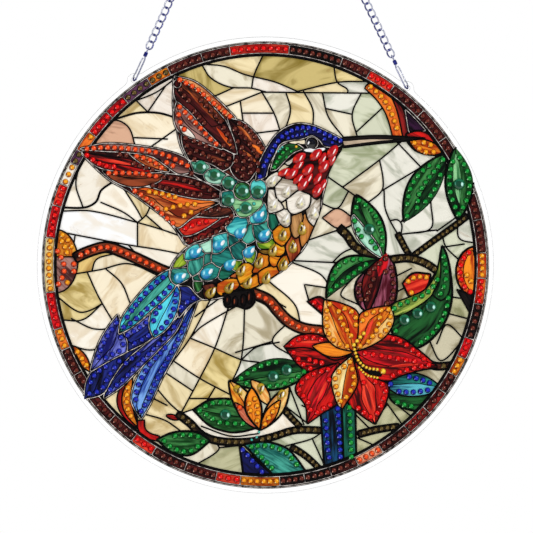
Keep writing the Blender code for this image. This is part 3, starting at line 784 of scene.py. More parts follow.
WING_ROWS = {
    "copper": [
        [(-37.4, 81), (-30.6, 77.4), (-24.8, 72.6), (-19.8, 68.4), (-15.6, 65)],
        [(-37.6, 69.2), (-38, 66), (-37.4, 62.4), (-35.6, 59.4)],
        [(-35.2, 66.8), (-31.4, 63), (-27.8, 59.2), (-24.8, 55.8), (-21.6, 53)],
        [(-78.2, 50.8), (-70, 51.4), (-60, 50.9), (-50, 49.7), (-42, 47.4), (-34.2, 43.4)],
        [(-46, 46.4), (-40.4, 43.4), (-34.6, 41.6)],
        [(-56.4, 47.6), (-50.4, 45.8), (-45.6, 42.6)],
        [(-68.6, 40.2), (-62, 40.3), (-55, 40), (-48, 38.8)],
        [(-57.2, 32.4), (-52.4, 29.2), (-48.2, 25.6), (-44.6, 21.6), (-40.6, 18.4)],
    ],
    "brown": [
        [(-38.4, 79.4), (-36.6, 75.4), (-33.6, 72)],
        [(-35.4, 78.2), (-29.6, 73.6), (-24.4, 68), (-20, 63), (-17, 57.6), (-14.4, 51.4)],
        [(-33.2, 69.6), (-28, 63.6), (-23, 57.4), (-18.4, 52.4)],
        [(-14.4, 63), (-9, 60.8), (-4.4, 56), (-1.2, 51)],
        [(-13.4, 59.6), (-9.8, 56.6), (-6.4, 52), (-3.6, 47), (-3.4, 41.4)],
        [(-12.2, 54), (-9.4, 49.6), (-9.6, 44.4), (-10, 39)],
        [(-13, 45.6), (-12.4, 41.6)], [(-6.4, 46.4), (-6.6, 40.4)],
        [(-35, 55.6), (-34.2, 51.4), (-31.8, 46.8), (-28, 45)],
        [(-31.4, 54.2), (-26, 52), (-20, 49.2), (-16, 46.6)],
        [(-30.4, 50), (-25.4, 47.8), (-20.6, 44.4), (-17, 43.6)],
        [(-75.4, 49), (-68, 48.9), (-61, 48)], [(-60.4, 45.6), (-55, 43.4), (-49.6, 41.8)],
        [(-44.6, 38.4), (-38, 37.6), (-31, 35.8), (-24.4, 32.8)],
        [(-49.4, 34.8), (-42.6, 33.4), (-36, 32.2), (-29, 30.8), (-22.4, 30.6)],
        [(-32.4, 40), (-27, 38.2), (-22.6, 36.2)],
        [(-34, 10.8), (-27, 12.2), (-21, 14.8), (-16.8, 18.4), (-15, 21.4)],
        [(-27.4, 23), (-22, 24.2), (-16.8, 24.6)],
    ],
    "red": [[(-78.2, 48), (-75, 45.7), (-71, 43.6), (-66.4, 43)], [(-35, 16), (-30.6, 17.8), (-26, 19)]],
    "amber": [
        [(-51, 32), (-45, 31.1), (-39.6, 29.7)], [(-43.6, 24.4), (-37.4, 26), (-31, 26.6)],
        [(-38.6, 20), (-35.4, 21.6), (-32, 23.4), (-29.6, 24.4)],
    ],
}
WING_STREAKS = [  # bright thin streaks in the dark feathers: base, tip, half width, glass
    ((-21.6, 60.4), (-13.5, 50), 0.9, "flame"), ((-12.8, 61.8), (-6, 54.4), 0.9, "rust"),
    ((-6.2, 53), (0.2, 47.6), 1.1, "flame"), ((-10, 50.4), (-3.4, 44.4), 0.7, "rust"),
    ((-34.4, 76.8), (-22, 63.4), 0.8, "rust"), ((-47, 36.4), (-27, 32.2), 0.9, "ruby"),
    ((-74, 46.6), (-58, 43.8), 0.8, "scarlet"), ((-55, 29.6), (-40, 21.6), 1.0, "copper"),
    ((-28, 48.2), (-17, 45.4), 0.7, "bark"),
]
TAIL = [
    ([(-54.4, -67.4, 1), (-58.4, -60), (-57.4, -52.6), (-53, -44), (-46, -36), (-39, -28), (-34, -20.4),
      (-29.4, -14.6, 1), (-32.2, -22), (-35.6, -31), (-40, -39.6), (-45.6, -50), (-50.4, -60.4)],
      ("azure", "azure", "royal"), "blue", 2),
    ([(-70.8, -58.4, 1), (-68.4, -50.4), (-62, -41.6), (-52, -34.6), (-43.6, -27.4), (-34.6, -19, 1),
      (-39, -28.6), (-46.8, -37), (-55.8, -46), (-63.4, -53.4)], ("iris", "navy", "iris"), "blue", 2),
    ([(-79.2, -58.6, 1), (-78.4, -51.6), (-75.6, -46, 1), (-68, -41.6), (-60, -37.6), (-53, -34.6, 1),
      (-62, -42.4), (-67.4, -50), (-71.2, -56.2)], ("royal", "navy"), "blue", 1),
    ([(-63.4, -30.8, 1), (-56, -26), (-50, -21.4), (-44, -17.6), (-36.6, -13.6, 1), (-38, -21.6),
      (-44, -26.8), (-51.6, -33.2), (-61.4, -38.2, 1)], ("navy", "iris", "navy"), "blue", 2),
    ([(-64.6, -21.8, 1), (-68.6, -27), (-72.4, -33.4), (-75, -40.6), (-76.6, -46.6, 1), (-68, -41.6),
      (-60.8, -38, 1), (-60.8, -33.6), (-62.4, -29.6)], ("iris", "iris"), "blue", 1),
    ([(-39.4, -8, 1), (-33, -5), (-30, -9), (-26.4, -14, 1), (-33, -17.4), (-38, -23, 1), (-38.8, -15)],
     ("royal", "navy"), "blue", 0),
    ([(-48.8, -32, 1), (-50.8, -26.6), (-49.6, -20.6), (-45, -14.2), (-39.4, -7.6, 1), (-37.6, -12),
      (-38.2, -18), (-40.2, -23.6), (-44, -28.6)], ("turquoise", "sky"), "blue", 1),
    ([(-64.2, -30.2, 1), (-63, -24), (-58, -16.4), (-51, -8.4), (-44, -3), (-38.6, -1.6, 1), (-39.2, -8.6),
      (-44.4, -15), (-50, -19.8), (-58, -26.8)], ("turquoise", "teal", "turquoise"), "blue", 2),
]


def draw_feathers(feathers):
    """Feathers, each with its axis from its first corner to the middle one."""
    for points, tone, stones, ribs in feathers:
        sharp = [p[:2] for p in points if len(p) > 2]
        shape = blob(points, [sharp[0], sharp[len(sharp) // 2]])
        lay(shape, tone, "silver", stones=stones, inset=2.0, ribs=ribs, lap=0.3)


def draw_wings():
    draw_feathers(UPPER_WING)
    draw_feathers(LOWER_WING)
    lay(disc((-38.6, 79.4), 1.7, 1.9), "oxblood", "silver")
    lay(blob([(-37.8, 61, 1), (-35, 60.6), (-31, 56.6), (-30.6, 54.8, 1), (-36.2, 57.4)]), "pearl", "fine")
    for kind, lines in WING_ROWS.items():
        for line in lines:
            row(line, kind)


def draw_streaks(streaks):
    """Thin bright streaks with no lead round them."""
    for base, tip, wide, tone in streaks:
        lay(leaf(base, tip, wide, wide * 0.7), tone, "none")


HEAD_WAY = radians(50)  # the way from the tail to the head


def set_gems():
    """Every large gem of the CAD, with its family, outline, place and size in the drawing."""
    flat = FACE.inverted()
    found = []
    for name, solid in sorted(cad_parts.items()):
        if "_gem_" not in name:
            continue
        rim = np.array([(flat @ v.co)[:2] for v in solid.data.vertices])
        far = rim - rim.mean(axis=0)
        far = far[np.argmax(np.hypot(*far.T))]
        turn = atan2(far[1], far[0])
        if not name.startswith("bud") and cos(turn - HEAD_WAY) < 0:
            turn += pi
        axis, across = np.array((cos(turn), sin(turn))), np.array((-sin(turn), cos(turn)))
        run, side = rim @ axis, rim @ across
        low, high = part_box(name)
        found.append({
            "node": name, "family": name.split("_gem_")[0], "turn": turn, "rim": rim,
            "centre": axis * (run.min() + run.max()) / 2 + across * (side.min() + side.max()) / 2,
            "length": float(np.ptp(run)), "width": float(np.ptp(side)), "height": (high.y - low.y) / MM,
        })
    return found


GEMS = set_gems()

BODY = [(-3, 42), (10, 50), (27, 46), (27.2, 38.6), (25.2, 30.6), (24, 23.6), (21.2, 16.4), (17.6, 8.6),
        (11, 0.6), (2, -6.2), (-8, -11.4), (-18, -14), (-27, -15.2), (-30.4, -12.8), (-33.6, -9.4),
        (-39.4, -8.8), (-42, -5.4), (-41.4, -0.8), (-37.6, 4.8), (-32, 9.2), (-24, 12.2), (-17.6, 16.6),
        (-13.6, 21.4), (-15.4, 25.2), (-19.6, 26), (-19.8, 31.8), (-19.4, 34.4), (-25.6, 36), (-32, 40),
        (-33.4, 45.4), (-25, 44.6), (-15.6, 39.2), (-8, 36.4)]
THROAT = [(10.6, 47.4, 1), (17, 50), (26, 49.6), (34, 51.6, 1), (30.8, 46.6), (27.6, 40), (25.6, 33),
          (22.6, 28.6), (19.4, 31), (15.6, 32.6), (12.4, 37), (7, 38.4), (6, 40.6), (11, 43.4)]
SCALES = [  # the glass of each feather scale and its outline, from the tail to the head
    ("teal", [(-40.8, -1.8, 1), (-37, -1.6), (-33.8, -1.4, 1), (-33, -5.4, 1), (-36.4, -7.4), (-40, -9, 1),
              (-41.4, -5)]),
    ("spring", [(-40.6, -1.2, 1), (-38.8, 2.2), (-35.8, 5.4, 1), (-35.8, 2.4), (-34.2, 0.8, 1),
                (-37, -0.8)]),
    ("lagoon", [(-35.2, 2.4, 1), (-34.6, 6), (-31, 8.8), (-27.4, 9, 1), (-26, 6, 1), (-28, 3.4),
                (-31.4, 2)]),
    ("mint", [(-28.8, 8.9, 1), (-25.6, 10.2), (-22.8, 11.6, 1), (-23, 7.2), (-24.2, 5.4), (-26.4, 5.3, 1)]),
    ("teal", [(-33.4, 1.8, 1), (-30.4, 2.2), (-27, 3.6, 1), (-27, 0.4), (-28.4, -2), (-31.7, -5.2, 1),
              (-33.8, -2)]),
    ("teal", [(-26.6, 4.8, 1), (-23.8, 4.8, 1), (-23.7, 1, 1), (-26.8, -0.5, 1)]),
    ("pine", [(-31.8, -5.4, 1), (-29, -4, 1), (-28, -6.9, 1), (-31.2, -7, 1)]),
    ("leaf", [(-31.4, -7.3, 1), (-27.2, -7.6, 1), (-28, -10.4), (-30, -12.2, 1), (-31.2, -10)]),
    ("lagoon", [(-23, 12.2, 1), (-19.6, 13.4), (-16.4, 14, 1), (-15.9, 8.6, 1), (-18, 6), (-21, 4.9),
                (-22.9, 5.3, 1)]),
    ("viridian", [(-23.4, 4.7, 1), (-20, 4.8), (-16.4, 7.9, 1), (-13.8, 2.8, 1), (-17.6, 0.2), (-20.6, -1.1),
                  (-23.2, 1)]),
    ("viridian", [(-26.8, -0.8, 1), (-23.4, 1, 1), (-21.4, -1), (-19.4, -1.4, 1), (-20.8, -4.6), (-24, -6.6),
                  (-27.4, -6.4), (-29, -4.6, 1)]),
    ("pine", [(-19.3, -1.4, 1), (-17.2, 0.6, 1), (-12.4, -2.6, 1), (-14.8, -4.4), (-18.4, -6.6),
              (-20.6, -5.6, 1)]),
    ("spring", [(-13.4, 2.6, 1), (-10.4, 2, 1), (-10.2, -0.6), (-12.4, -2.8, 1), (-14.8, -1)]),
    ("viridian", [(-16.2, 14, 1), (-13, 12.2), (-11.4, 10.6, 1), (-13.4, 8.4), (-15.8, 7.8, 1)]),
    ("lagoon", [(-17.4, 16.8, 1), (-13.6, 20.8), (-8.6, 21, 1), (-7.6, 18.4, 1), (-8.6, 14.4),
                (-10.6, 11, 1), (-12.8, 12.7), (-16.2, 14.3, 1)]),
    ("viridian", [(-15.4, 7.6, 1), (-11.2, 10.2, 1), (-8.6, 9.4, 1), (-9, 5), (-10, 2.3, 1), (-13.2, 2.7)]),
    ("teal", [(-10.2, 10.8, 1), (-8.2, 14.4), (-7.4, 18, 1), (-5.4, 17.6, 1), (-5.4, 14), (-4, 11.4, 1),
              (-7.6, 9.4)]),
    ("spring", [(-9.8, 5.8, 1), (-8.6, 2.2), (-7, 0.5), (-5.4, 1.2), (-4, 5.4, 1), (-6.4, 8)]),
    ("spring", [(-3.8, 11.4, 1), (0, 12.6), (4.4, 10.6, 1), (4.2, 8.4), (0, 6.5), (-3, 8)]),
    ("teal", [(-5.2, 17.8, 1), (-1.6, 18.9), (1.2, 22, 1), (1.3, 17.4), (3, 14.8, 1), (1.6, 11),
              (-2.6, 10.2), (-4.8, 13.4)]),
    ("pine", [(1.6, 22.4, 1), (4.3, 22.3, 1), (5.9, 18, 1), (3, 14.8, 1), (1.5, 17.4)]),
    ("lagoon", [(-6.8, 20.6, 1), (-4.4, 25), (-0.6, 27.4, 1), (0.7, 23), (0.1, 19.6), (-3.4, 18.2),
                (-6.4, 18.6)]),
    ("umber", [(-27.4, -9, 1), (-22.4, -8.2, 1), (-21.8, -11.4), (-23.4, -14.6), (-26.4, -14.4)]),
    ("marigold", [(-20.8, -8.2, 1), (-17, -6.4), (-12.2, -6, 1), (-11.4, -9, 1), (-14.6, -12),
                  (-18.8, -13.4), (-21.2, -11.6)]),
    ("rust", [(-15.6, -5.2, 1), (-12.4, -3.2, 1), (-12.2, -5.6, 1)]),
    ("marigold", [(-11.2, -8.7, 1), (-7, -6.2), (-3.6, -4, 1), (-2.8, -9, 1), (-6.4, -11.4, 1),
                  (-9.4, -10.2)]),
    ("gilt", [(-12.2, -5.4, 1), (-12, -2.6), (-9.8, 0.9, 1), (-6.6, 0.4), (-4.8, -1.6, 1), (-6.4, -4.8),
              (-11, -8.4, 1)]),
    ("marigold", [(-3, 5.4, 1), (0, 4.9), (1.7, 3.4, 1), (1.4, 0.6), (-0.6, -2.4), (-5.7, -3.5, 1),
                  (-4.3, 0)]),
    ("marigold", [(-3, -3.4, 1), (0.8, -1.2), (4.8, -0.8), (6, -3.2, 1), (2.6, -6.2), (-2.4, -8.5, 1)]),
    ("ochre", [(-2.8, 6.4, 1), (2.2, 6.5, 1), (2.2, 4.8, 1), (-1, 5.1)]),
    ("marigold", [(2.2, 5.4, 1), (5, 4.6), (8.6, 3, 1), (6.4, 0.8), (3.4, -0.9, 1), (1.9, 1.6)]),
    ("marigold", [(5.3, -0.2, 1), (7, 3), (9.7, 4.4, 1), (10.6, 1, 1), (6.2, -2.9, 1)]),
    ("gilt", [(2.6, 7.6, 1), (5, 9.4, 1), (8.2, 8.2, 1), (8.4, 5.8), (6.6, 4, 1), (3.4, 4.6)]),
    ("rust", [(11, 12.4, 1), (14.9, 12, 1), (15.6, 7.6), (14, 3.4), (11, 1.2, 1), (9.9, 4.6),
              (8.9, 7.8, 1)]),
    ("gilt", [(3.2, 14.6, 1), (6.4, 17.6, 1), (8.9, 16.4), (10.6, 17.6, 1), (11, 12.6, 1), (7.6, 8.2, 1),
              (4, 10.8)]),
    ("caramel", [(16, 7.8, 1), (19.4, 11.6), (21.2, 16.6, 1), (18.9, 18.8), (17.3, 22.6, 1), (16, 19.6),
                 (15.2, 12.6)]),
    ("tan", [(11, 20.8, 1), (13.4, 22.2), (15.6, 23.7, 1), (16.2, 20), (14.6, 17), (15.1, 13.4, 1),
             (13.2, 11.8), (11.4, 14.8)]),
    ("pearl", [(4.6, 22.8, 1), (8.4, 24.6), (10.8, 23, 1), (10.8, 18), (9.2, 16.5, 1), (6.6, 18.2)]),
    ("pearl", [(17.8, 24, 1), (19.4, 30.8, 1), (23.8, 31.4, 1), (24, 25), (23, 20), (21.4, 17, 1),
               (19, 19.6)]),
    ("cream", [(7.4, 27.4, 1), (9.3, 28.4, 1), (9.7, 24.4, 1), (8.2, 24.8, 1)]),
    ("pearl", [(9.4, 28.8, 1), (12, 31), (17, 33.4, 1), (19.4, 31), (19, 26), (16.4, 23.8, 1), (12, 22.4),
               (9.9, 24.4, 1)]),
    ("pearl", [(1.5, 33.1, 1), (4.4, 32.8, 1), (5.2, 29.6), (8, 24.8, 1), (4.6, 23.3), (1.4, 22.7, 1),
               (1, 27)]),
    ("pearl", [(4.3, 35.3, 1), (7.6, 38.4), (13, 39, 1), (15.4, 34, 1), (12, 31.4), (7, 27.5, 1), (5, 30)]),
    ("ivory", [(-0.4, 36.4, 1), (2, 39), (5.4, 41, 1), (7.4, 38.6, 1), (4, 34.8, 1), (0.4, 33.7, 1)]),
    ("cream", [(5.6, 41.4, 1), (8.6, 44), (11.4, 42.6, 1), (8, 41), (6, 40, 1)]),
    ("mint", [(-32.6, 45.2, 1), (-29, 45), (-25, 43.8), (-24.4, 41.6, 1), (-27, 39.9), (-31, 40.8, 1)]),
    ("mint", [(-27, 39.4, 1), (-24.4, 41.7), (-19, 41.4), (-16.6, 38.6, 1), (-18.6, 36.2), (-22, 35.4),
              (-25.6, 36.8)]),
    ("viridian", [(-19, 36.2, 1), (-16.6, 39), (-12.8, 37.6), (-12.4, 34.6), (-14.6, 32.9),
                  (-17.8, 33.4, 1)]),
    ("viridian", [(-18.9, 31.8, 1), (-14.6, 32.6, 1), (-13.6, 29.6), (-14.4, 25.8, 1), (-19, 26.4, 1)]),
    ("leaf_light", [(-14.4, 26.2, 1), (-13.4, 28.8), (-8, 29), (-3.8, 30), (-1.2, 27.6), (-3.2, 24.4),
                    (-7.8, 21.1, 1), (-11.4, 21.4)]),
    ("leaf", [(-13.8, 33, 1), (-11.8, 35.9), (-8.2, 35.8), (-6.2, 32.8), (-7, 29.4, 1), (-10, 28.6),
              (-13, 30.2)]),
    ("lagoon", [(-6.5, 33.4, 1), (-5.8, 36.4), (-3, 37.5), (-0.4, 36), (0.2, 32.4), (-1.6, 29.2, 1),
                (-5.2, 29.3)]),
]

WARM_SCALES = ("pearl", "ivory", "cream", "tan", "caramel", "gilt", "marigold", "rust", "ochre", "umber")


def draw_body():
    body = lay(blob(BODY), "soot", "silver")
    for tone, points in SCALES:
        lay(blob(points), tone, "lead" if tone in WARM_SCALES else "scale", body, lap=0.35)
    for spot in ((-31, 42.6), (-25.2, 38.2), (-20.2, 37.2), (-17.2, 33.9), (-13.2, 27), (-12, 24),
                 (-5, 26.8)):
        row([spot, (spot[0], spot[1] - 0.1)], "aqua", None, 0.66)
    lay(blob(THROAT), "maroon", "lead")


def draw_feet():
    lay(blob([(-18.6, -12.6, 1), (-12, -11), (-5.4, -10.6, 1), (-4.6, -16), (-8, -19.2), (-12.6, -18),
              (-17.4, -18.4)]),
        "soot", "bold")
    for x, y, tall in ((-16.4, -15.4, 2.2), (-13.2, -16, 2.4), (-9.6, -15.4, 2.8), (-6.8, -14.2, 3.0)):
        lay(disc((x, y), 1.2, tall), "jet", "lead")
        lay(leaf((x - 0.5, y - tall * 0.5), (x - 0.3, y + tall * 0.6), 0.3, 0.35), "bark", "none")


CROWN = [(-4.4, 36.8, 1), (-3.2, 43.6), (0.8, 51.8), (5.8, 58.2), (12.8, 61.8), (20, 61.4), (27.4, 58.4),
         (34.6, 54.6, 1), (32.6, 52), (26, 51.8), (23.8, 54.4), (20.4, 56.6), (16.4, 55.2), (10.6, 54.4),
         (6.6, 52.8), (4.2, 48.4), (1.6, 43.2), (0.4, 38.4, 1)]


def draw_head():
    lay(blob([(-1.4, 39, 1), (2, 49), (8, 56), (20, 59), (33.4, 53.4, 1), (33.6, 51.6, 1), (29.4, 50.6),
              (24, 49), (14, 49), (8.6, 45), (3.4, 40, 1)]), "jet", "lead")
    lay(blob([(8.2, 44.8, 1), (11, 46.4), (13.4, 48.6, 1), (12.4, 45.4), (10, 43.4)]), "pearl", "lead")
    stripe = lay(blob([(17, 51, 1), (14, 53), (9.4, 53.4), (6, 51), (3.6, 46.6), (2, 41, 1), (5, 41.8),
                       (8, 45), (12, 48.8)], [(16, 51.6), (10, 51), (6, 47), (3, 42)]),
                       ("leaf_dark", "pine"), "silver")
    row([(15.2, 51.4), (11.8, 51.9)], "green", stripe, 0.82, CLOSE_PITCH + 1.2)
    row([(9.4, 50.9), (7.2, 48.6), (5.4, 45.8), (3.9, 42.8)], "green", stripe, 0.82, CLOSE_PITCH)
    row([(11.2, 49.6), (9.2, 47.2), (7.2, 44.6)], "green", stripe, 0.6, CLOSE_PITCH)
    row([(7.4, 51.6), (5.4, 49.6), (3.8, 46.4)], "aqua", stripe, 0.45, CLOSE_PITCH)
    row([(13.5, 51.8), (13.5, 51.7)], "gold", None, 0.5)
    crown = lay(blob(CROWN, [(-3, 38), (-1, 45), (4, 53), (12, 58.6), (22, 59), (34, 54)]), "midnight",
                "silver")
    row([(-2.4, 38.6), (-0.6, 43.6), (2.4, 49.2), (5.6, 54.4), (9.2, 57.6), (14.6, 59.9), (20.4, 59.8),
         (26, 57.4), (32.8, 54.4)], "blue", crown, 0.94, CLOSE_PITCH)
    row([(8.2, 54.5), (11, 56), (14.2, 56.9), (18, 57.3)], "blue", crown, 0.7, CLOSE_PITCH)
    row([(24.4, 56.2), (27.2, 54.3), (31, 53)], "blue", crown, 0.74, CLOSE_PITCH)
    row([(7, 53.6), (11.4, 58.2), (16.4, 58.4), (22.4, 58.7), (28.6, 55.2)], "aqua", crown, 0.3,
        CLOSE_PITCH * 3)
    lay(disc((20.4, 53.4), 2.7), "soot", "scale")
    lay(blob([(9.4, 53.6, 1), (12.6, 54.5), (17.4, 54.9, 1), (17.6, 53), (15.4, 52.9), (12.4, 53)]), "cream",
        "fine")
    lay(blob([(16, 50.7, 1), (18.6, 51.5), (20.8, 51), (23.4, 51.4), (26.6, 51.5, 1),
              (25.8, 50), (21.6, 49.1), (17.6, 49.5)]), "white", "fine")
    lay(blob([(33.4, 55.9, 1), (50, 56.7), (70.6, 55.6, 1), (62, 54.3), (50, 53.2), (33.8, 51.3, 1)]),
        "soot", "lead")
    lay(blob([(33.8, 54.3, 1), (46, 55.2), (60, 55.1, 1), (48, 54), (34.4, 52.2, 1)]), "bone", "fine")


def throat_filling():
    """Long stones, in staggered rows, that fill the throat between its large gems."""
    (left, low), (along, up), (columns, lines) = (4, 29), (4.2, 2.9), (10, 12)
    found = []
    outline = through(THROAT, closed=True)
    gems = np.array([g["centre"] for g in GEMS if g["family"] == "throat"])
    for j in range(lines):
        for i in range(columns):
            spot = np.array((left + along * (i + 0.5 * (j % 2)), low + up * j))
            if np.hypot(*(gems - spot).T).min() < 3.0 or not inside(spot[None], outline)[0]:
                continue
            if nearest(spot[None], outline)[0] > 1.1:
                turn = radians(28 + 2.2 * (spot[0] - 8))
                found.append({
                    "centre": tuple(spot), "turn": turn, "length": 6.4, "width": 3.1, "height": 1.2,
                })
    return found


FLOWER_STREAKS = [  # base, tip, half width, glass
    ((22, -52), (19, -64), 0.9, "oxblood"), ((28, -48), (22.6, -60), 0.7, "scarlet"),
    ((43.4, -52), (46.6, -64), 1.0, "oxblood"), ((46, -38), (62, -40), 0.9, "oxblood"),
    ((54, -44.6), (68, -43.4), 0.7, "scarlet"), ((35.6, -33), (32.4, -21), 0.9, "flame"),
    ((43.4, -33), (47.6, -23), 0.9, "scarlet"), ((14, -34), (26, -33.6), 0.7, "scarlet"),
]


def draw_flower(field):
    wine = lay(blob([(53, 5.4, 1), (56.8, -1), (57, -15.6), (51, -19.6), (44.4, -20.6), (39.6, -14.6),
                     (39.8, -7.4), (45.4, -1.2)], [(50, -20), (53, 5)]), "wine", "bold", field,
                     stones="brown")
    lay(leaf((45, -21), (52, 5.4), 7.6, 0.2, bow=-1.6), "oxblood", "lead", wine)
    lay(leaf((49.6, -5), (53.2, 6), 2.0, 2.2), "crimson", "none", wine)
    row([(44.4, -15), (46.4, -8), (50.4, -1)], "brown", wine)
    row([(48, -15.4), (49.4, -9.6), (52.6, -3)], "brown", wine)
    lay(disc((41, -42), 8, 8), "oxblood", "lead")
    petals = [  # outline, glass from left to right along the axis, stones, ribs
        (blob([(8, -35.6, 1), (14, -31), (22, -30.2), (29, -33), (38.6, -38, 1), (31, -45.4), (23, -47.8),
               (15.6, -45)],
              [(8, -36), (38, -38.6)]), ("crimson", "ruby", "scarlet"), "red", 0),
        (blob([(32.4, -42.6, 1), (31.4, -60.4), (25, -65), (18, -70, 1), (17.6, -62), (13, -54.6),
               (17.6, -47.6)],
              [(31, -44), (18, -69)]), ("ruby", "crimson", "ruby"), "red", 2),
        (blob([(39.4, -40, 1), (47, -48.6), (54, -52.4), (53, -60), (48.2, -70, 1), (41, -65.2), (36, -59.8),
               (38.6, -52)],
              [(40, -41), (48, -69)]), ("ruby", "scarlet", "ruby"), "red", 2),
        (blob([(39.4, -37.4, 1), (45, -33), (53, -30.4), (60, -32), (67, -37), (76, -44.8, 1), (68, -46.2),
               (60, -48.4), (53, -51), (46, -48), (41.4, -42.4)], [(40, -38), (76, -44)]),
               ("ruby", "crimson", "ruby"), "red", 2),
        (blob([(38, -39.4, 1), (31, -45.5), (28.8, -50), (31, -60), (33.4, -63.6, 1), (39.2, -55),
               (40.6, -50.6)],
              [(38, -40), (33.4, -63)]), ("orange", "butter"), "amber", 1),
        (blob([(38.8, -38, 1), (31, -36), (26, -30.6), (25, -22.6), (25.6, -15, 1), (33, -16.6),
               (40.4, -20.6), (41, -29)], [(39, -38), (27, -15.4)]), ("peach", "orange", "flame"), "amber",
               2),
        (blob([(39.2, -38, 1), (40.6, -30), (41.4, -21.6), (46.6, -19), (55, -17.6, 1), (56.4, -24.4),
               (53, -31), (46, -35.6)], [(39, -38), (54.6, -18)]), ("flame", "orange", "peach"), "amber", 2),
    ]
    for number, (shape, tone, stones, ribs) in enumerate(petals):
        patch = lay(shape, tone, "lead", stones=stones, ribs=ribs)
        if number == 0:
            cut([(9, -36.4), (20, -36.6), (30, -41.6), (38, -39.4)], "lead", patch)
            inner = lay(leaf((38.4, -38.2), (20.4, -35.4), 3.6, 2.8), ("orange", "amber"), "lead", patch)
            row([(35.6, -39.4), (29, -40), (23.8, -38.4)], "amber", inner, 0.9)
            row([(14, -39.4), (20.6, -42), (27.4, -43.4)], "red", patch)
        elif number < 4:
            rows.append({"patch": patch, "kind": stones, "points": spaced(shape[1], 3.6)[1:-1]})
    draw_streaks(FLOWER_STREAKS)
    row([(32, -20.4), (34, -26), (37.4, -31)], "amber")
    row([(45, -33.6), (48.6, -28.6), (50, -23)], "amber")
    lay(band([(39.6, -39.6), (41.4, -43), (45.4, -46.4), (51, -48)], 1.2, 0.8), "jet", "fine")
    row([(39, -37), (40.8, -42), (44.4, -45), (49, -45.8)], "gold", size=0.6, pitch=CLOSE_PITCH)
    row([(51.5, -46.6), (51.5, -46.7)], "gold", size=1.1)
    row([(41, -45), (44.4, -48.2), (49, -49.4)], "gold", size=0.5, pitch=CLOSE_PITCH)
    row([(49.6, -49.4), (49.6, -49.5)], "gold", size=0.8)
    row([(37.4, -36.8), (40, -33.4), (43, -30)], "gold", size=0.8, pitch=CLOSE_PITCH)


def draw_bud(field):
    lay(leaf((2, -61.6), (-6.4, -50.2), 2.4, 3.4), "peach", "lead", field)
    lay(leaf((-2, -72), (-16, -50.2), 4.2, 4.4), ("amber", "peach"), "bold", field, ribs=1)
    lay(leaf((-2, -72.4), (-13.6, -60), 2.6, 1.8), "salmon", "lead", field, middle="copper")
    lay(leaf((-1.6, -72), (10.6, -53), 3.6, 3.6), "peach", "bold", field)
    lay(leaf((-2.4, -72.4), (-6, -53.4), 4.6, 2.6, full=0.55), "orange", "bold", field, stones="amber",
        inset=1.9)
    lay(leaf((-2, -72.4), (6.6, -59), 2.6, 2.4), "orange", "lead", field, middle="amber")


def draw_overlap():
    """The leaf that lies over the border."""
    shape = leaf((84.4, 19.4), (83, 51.6), 4.9, 7.4)
    number = lay(shape, ("leaf_dark", "leaf"), "bold", stones="green", ribs=1)
    lay(leaf((85, 27), (83.4, 49), 1.9, 1.3), "leaf_light", "none", number)


def draw_picture():
    field = draw_border()
    draw_field(field)
    draw_accents(field)
    draw_branches(field)
    draw_leaves(field)
    draw_overlap()
    draw_feathers(TAIL)
    draw_wings()
    draw_streaks(WING_STREAKS)
    draw_body()
    draw_feet()
    draw_head()
    draw_flower(field)
    draw_bud(field)
    return field


# ---------------------------------------------------------------- the picture as a mesh


def top_patch(covers):
    """The patch that shows where these ones lie, each held inside the ones that it is cut to."""
    for number in sorted(covers, reverse=True):
        within = patches[number]["within"]
        while within is not None and within in covers:
            within = patches[within]["within"]
        if within is None:
            return number
    return -1


def drop_stubs(lead, loose, verts):
    """Takes out the short loose ends of lines that reach past the line they meet."""
    joints = {i for edge in lead.keys() - set(loose) for i in edge}
    meeting = {}
    for edge in loose:
        for i in edge:
            if i not in joints:
                meeting.setdefault(i, []).append(edge)
    seen = set()
    for edge in loose:
        chain, waiting = [], [edge]
        while waiting:
            one = waiting.pop()
            if one not in seen:
                seen.add(one)
                chain.append(one)
                for i in one:
                    waiting += meeting.get(i, [])
        if sum((verts[a] - verts[b]).length for a, b in chain) < STUB_LENGTH:
            for one in chain:
                del lead[one]


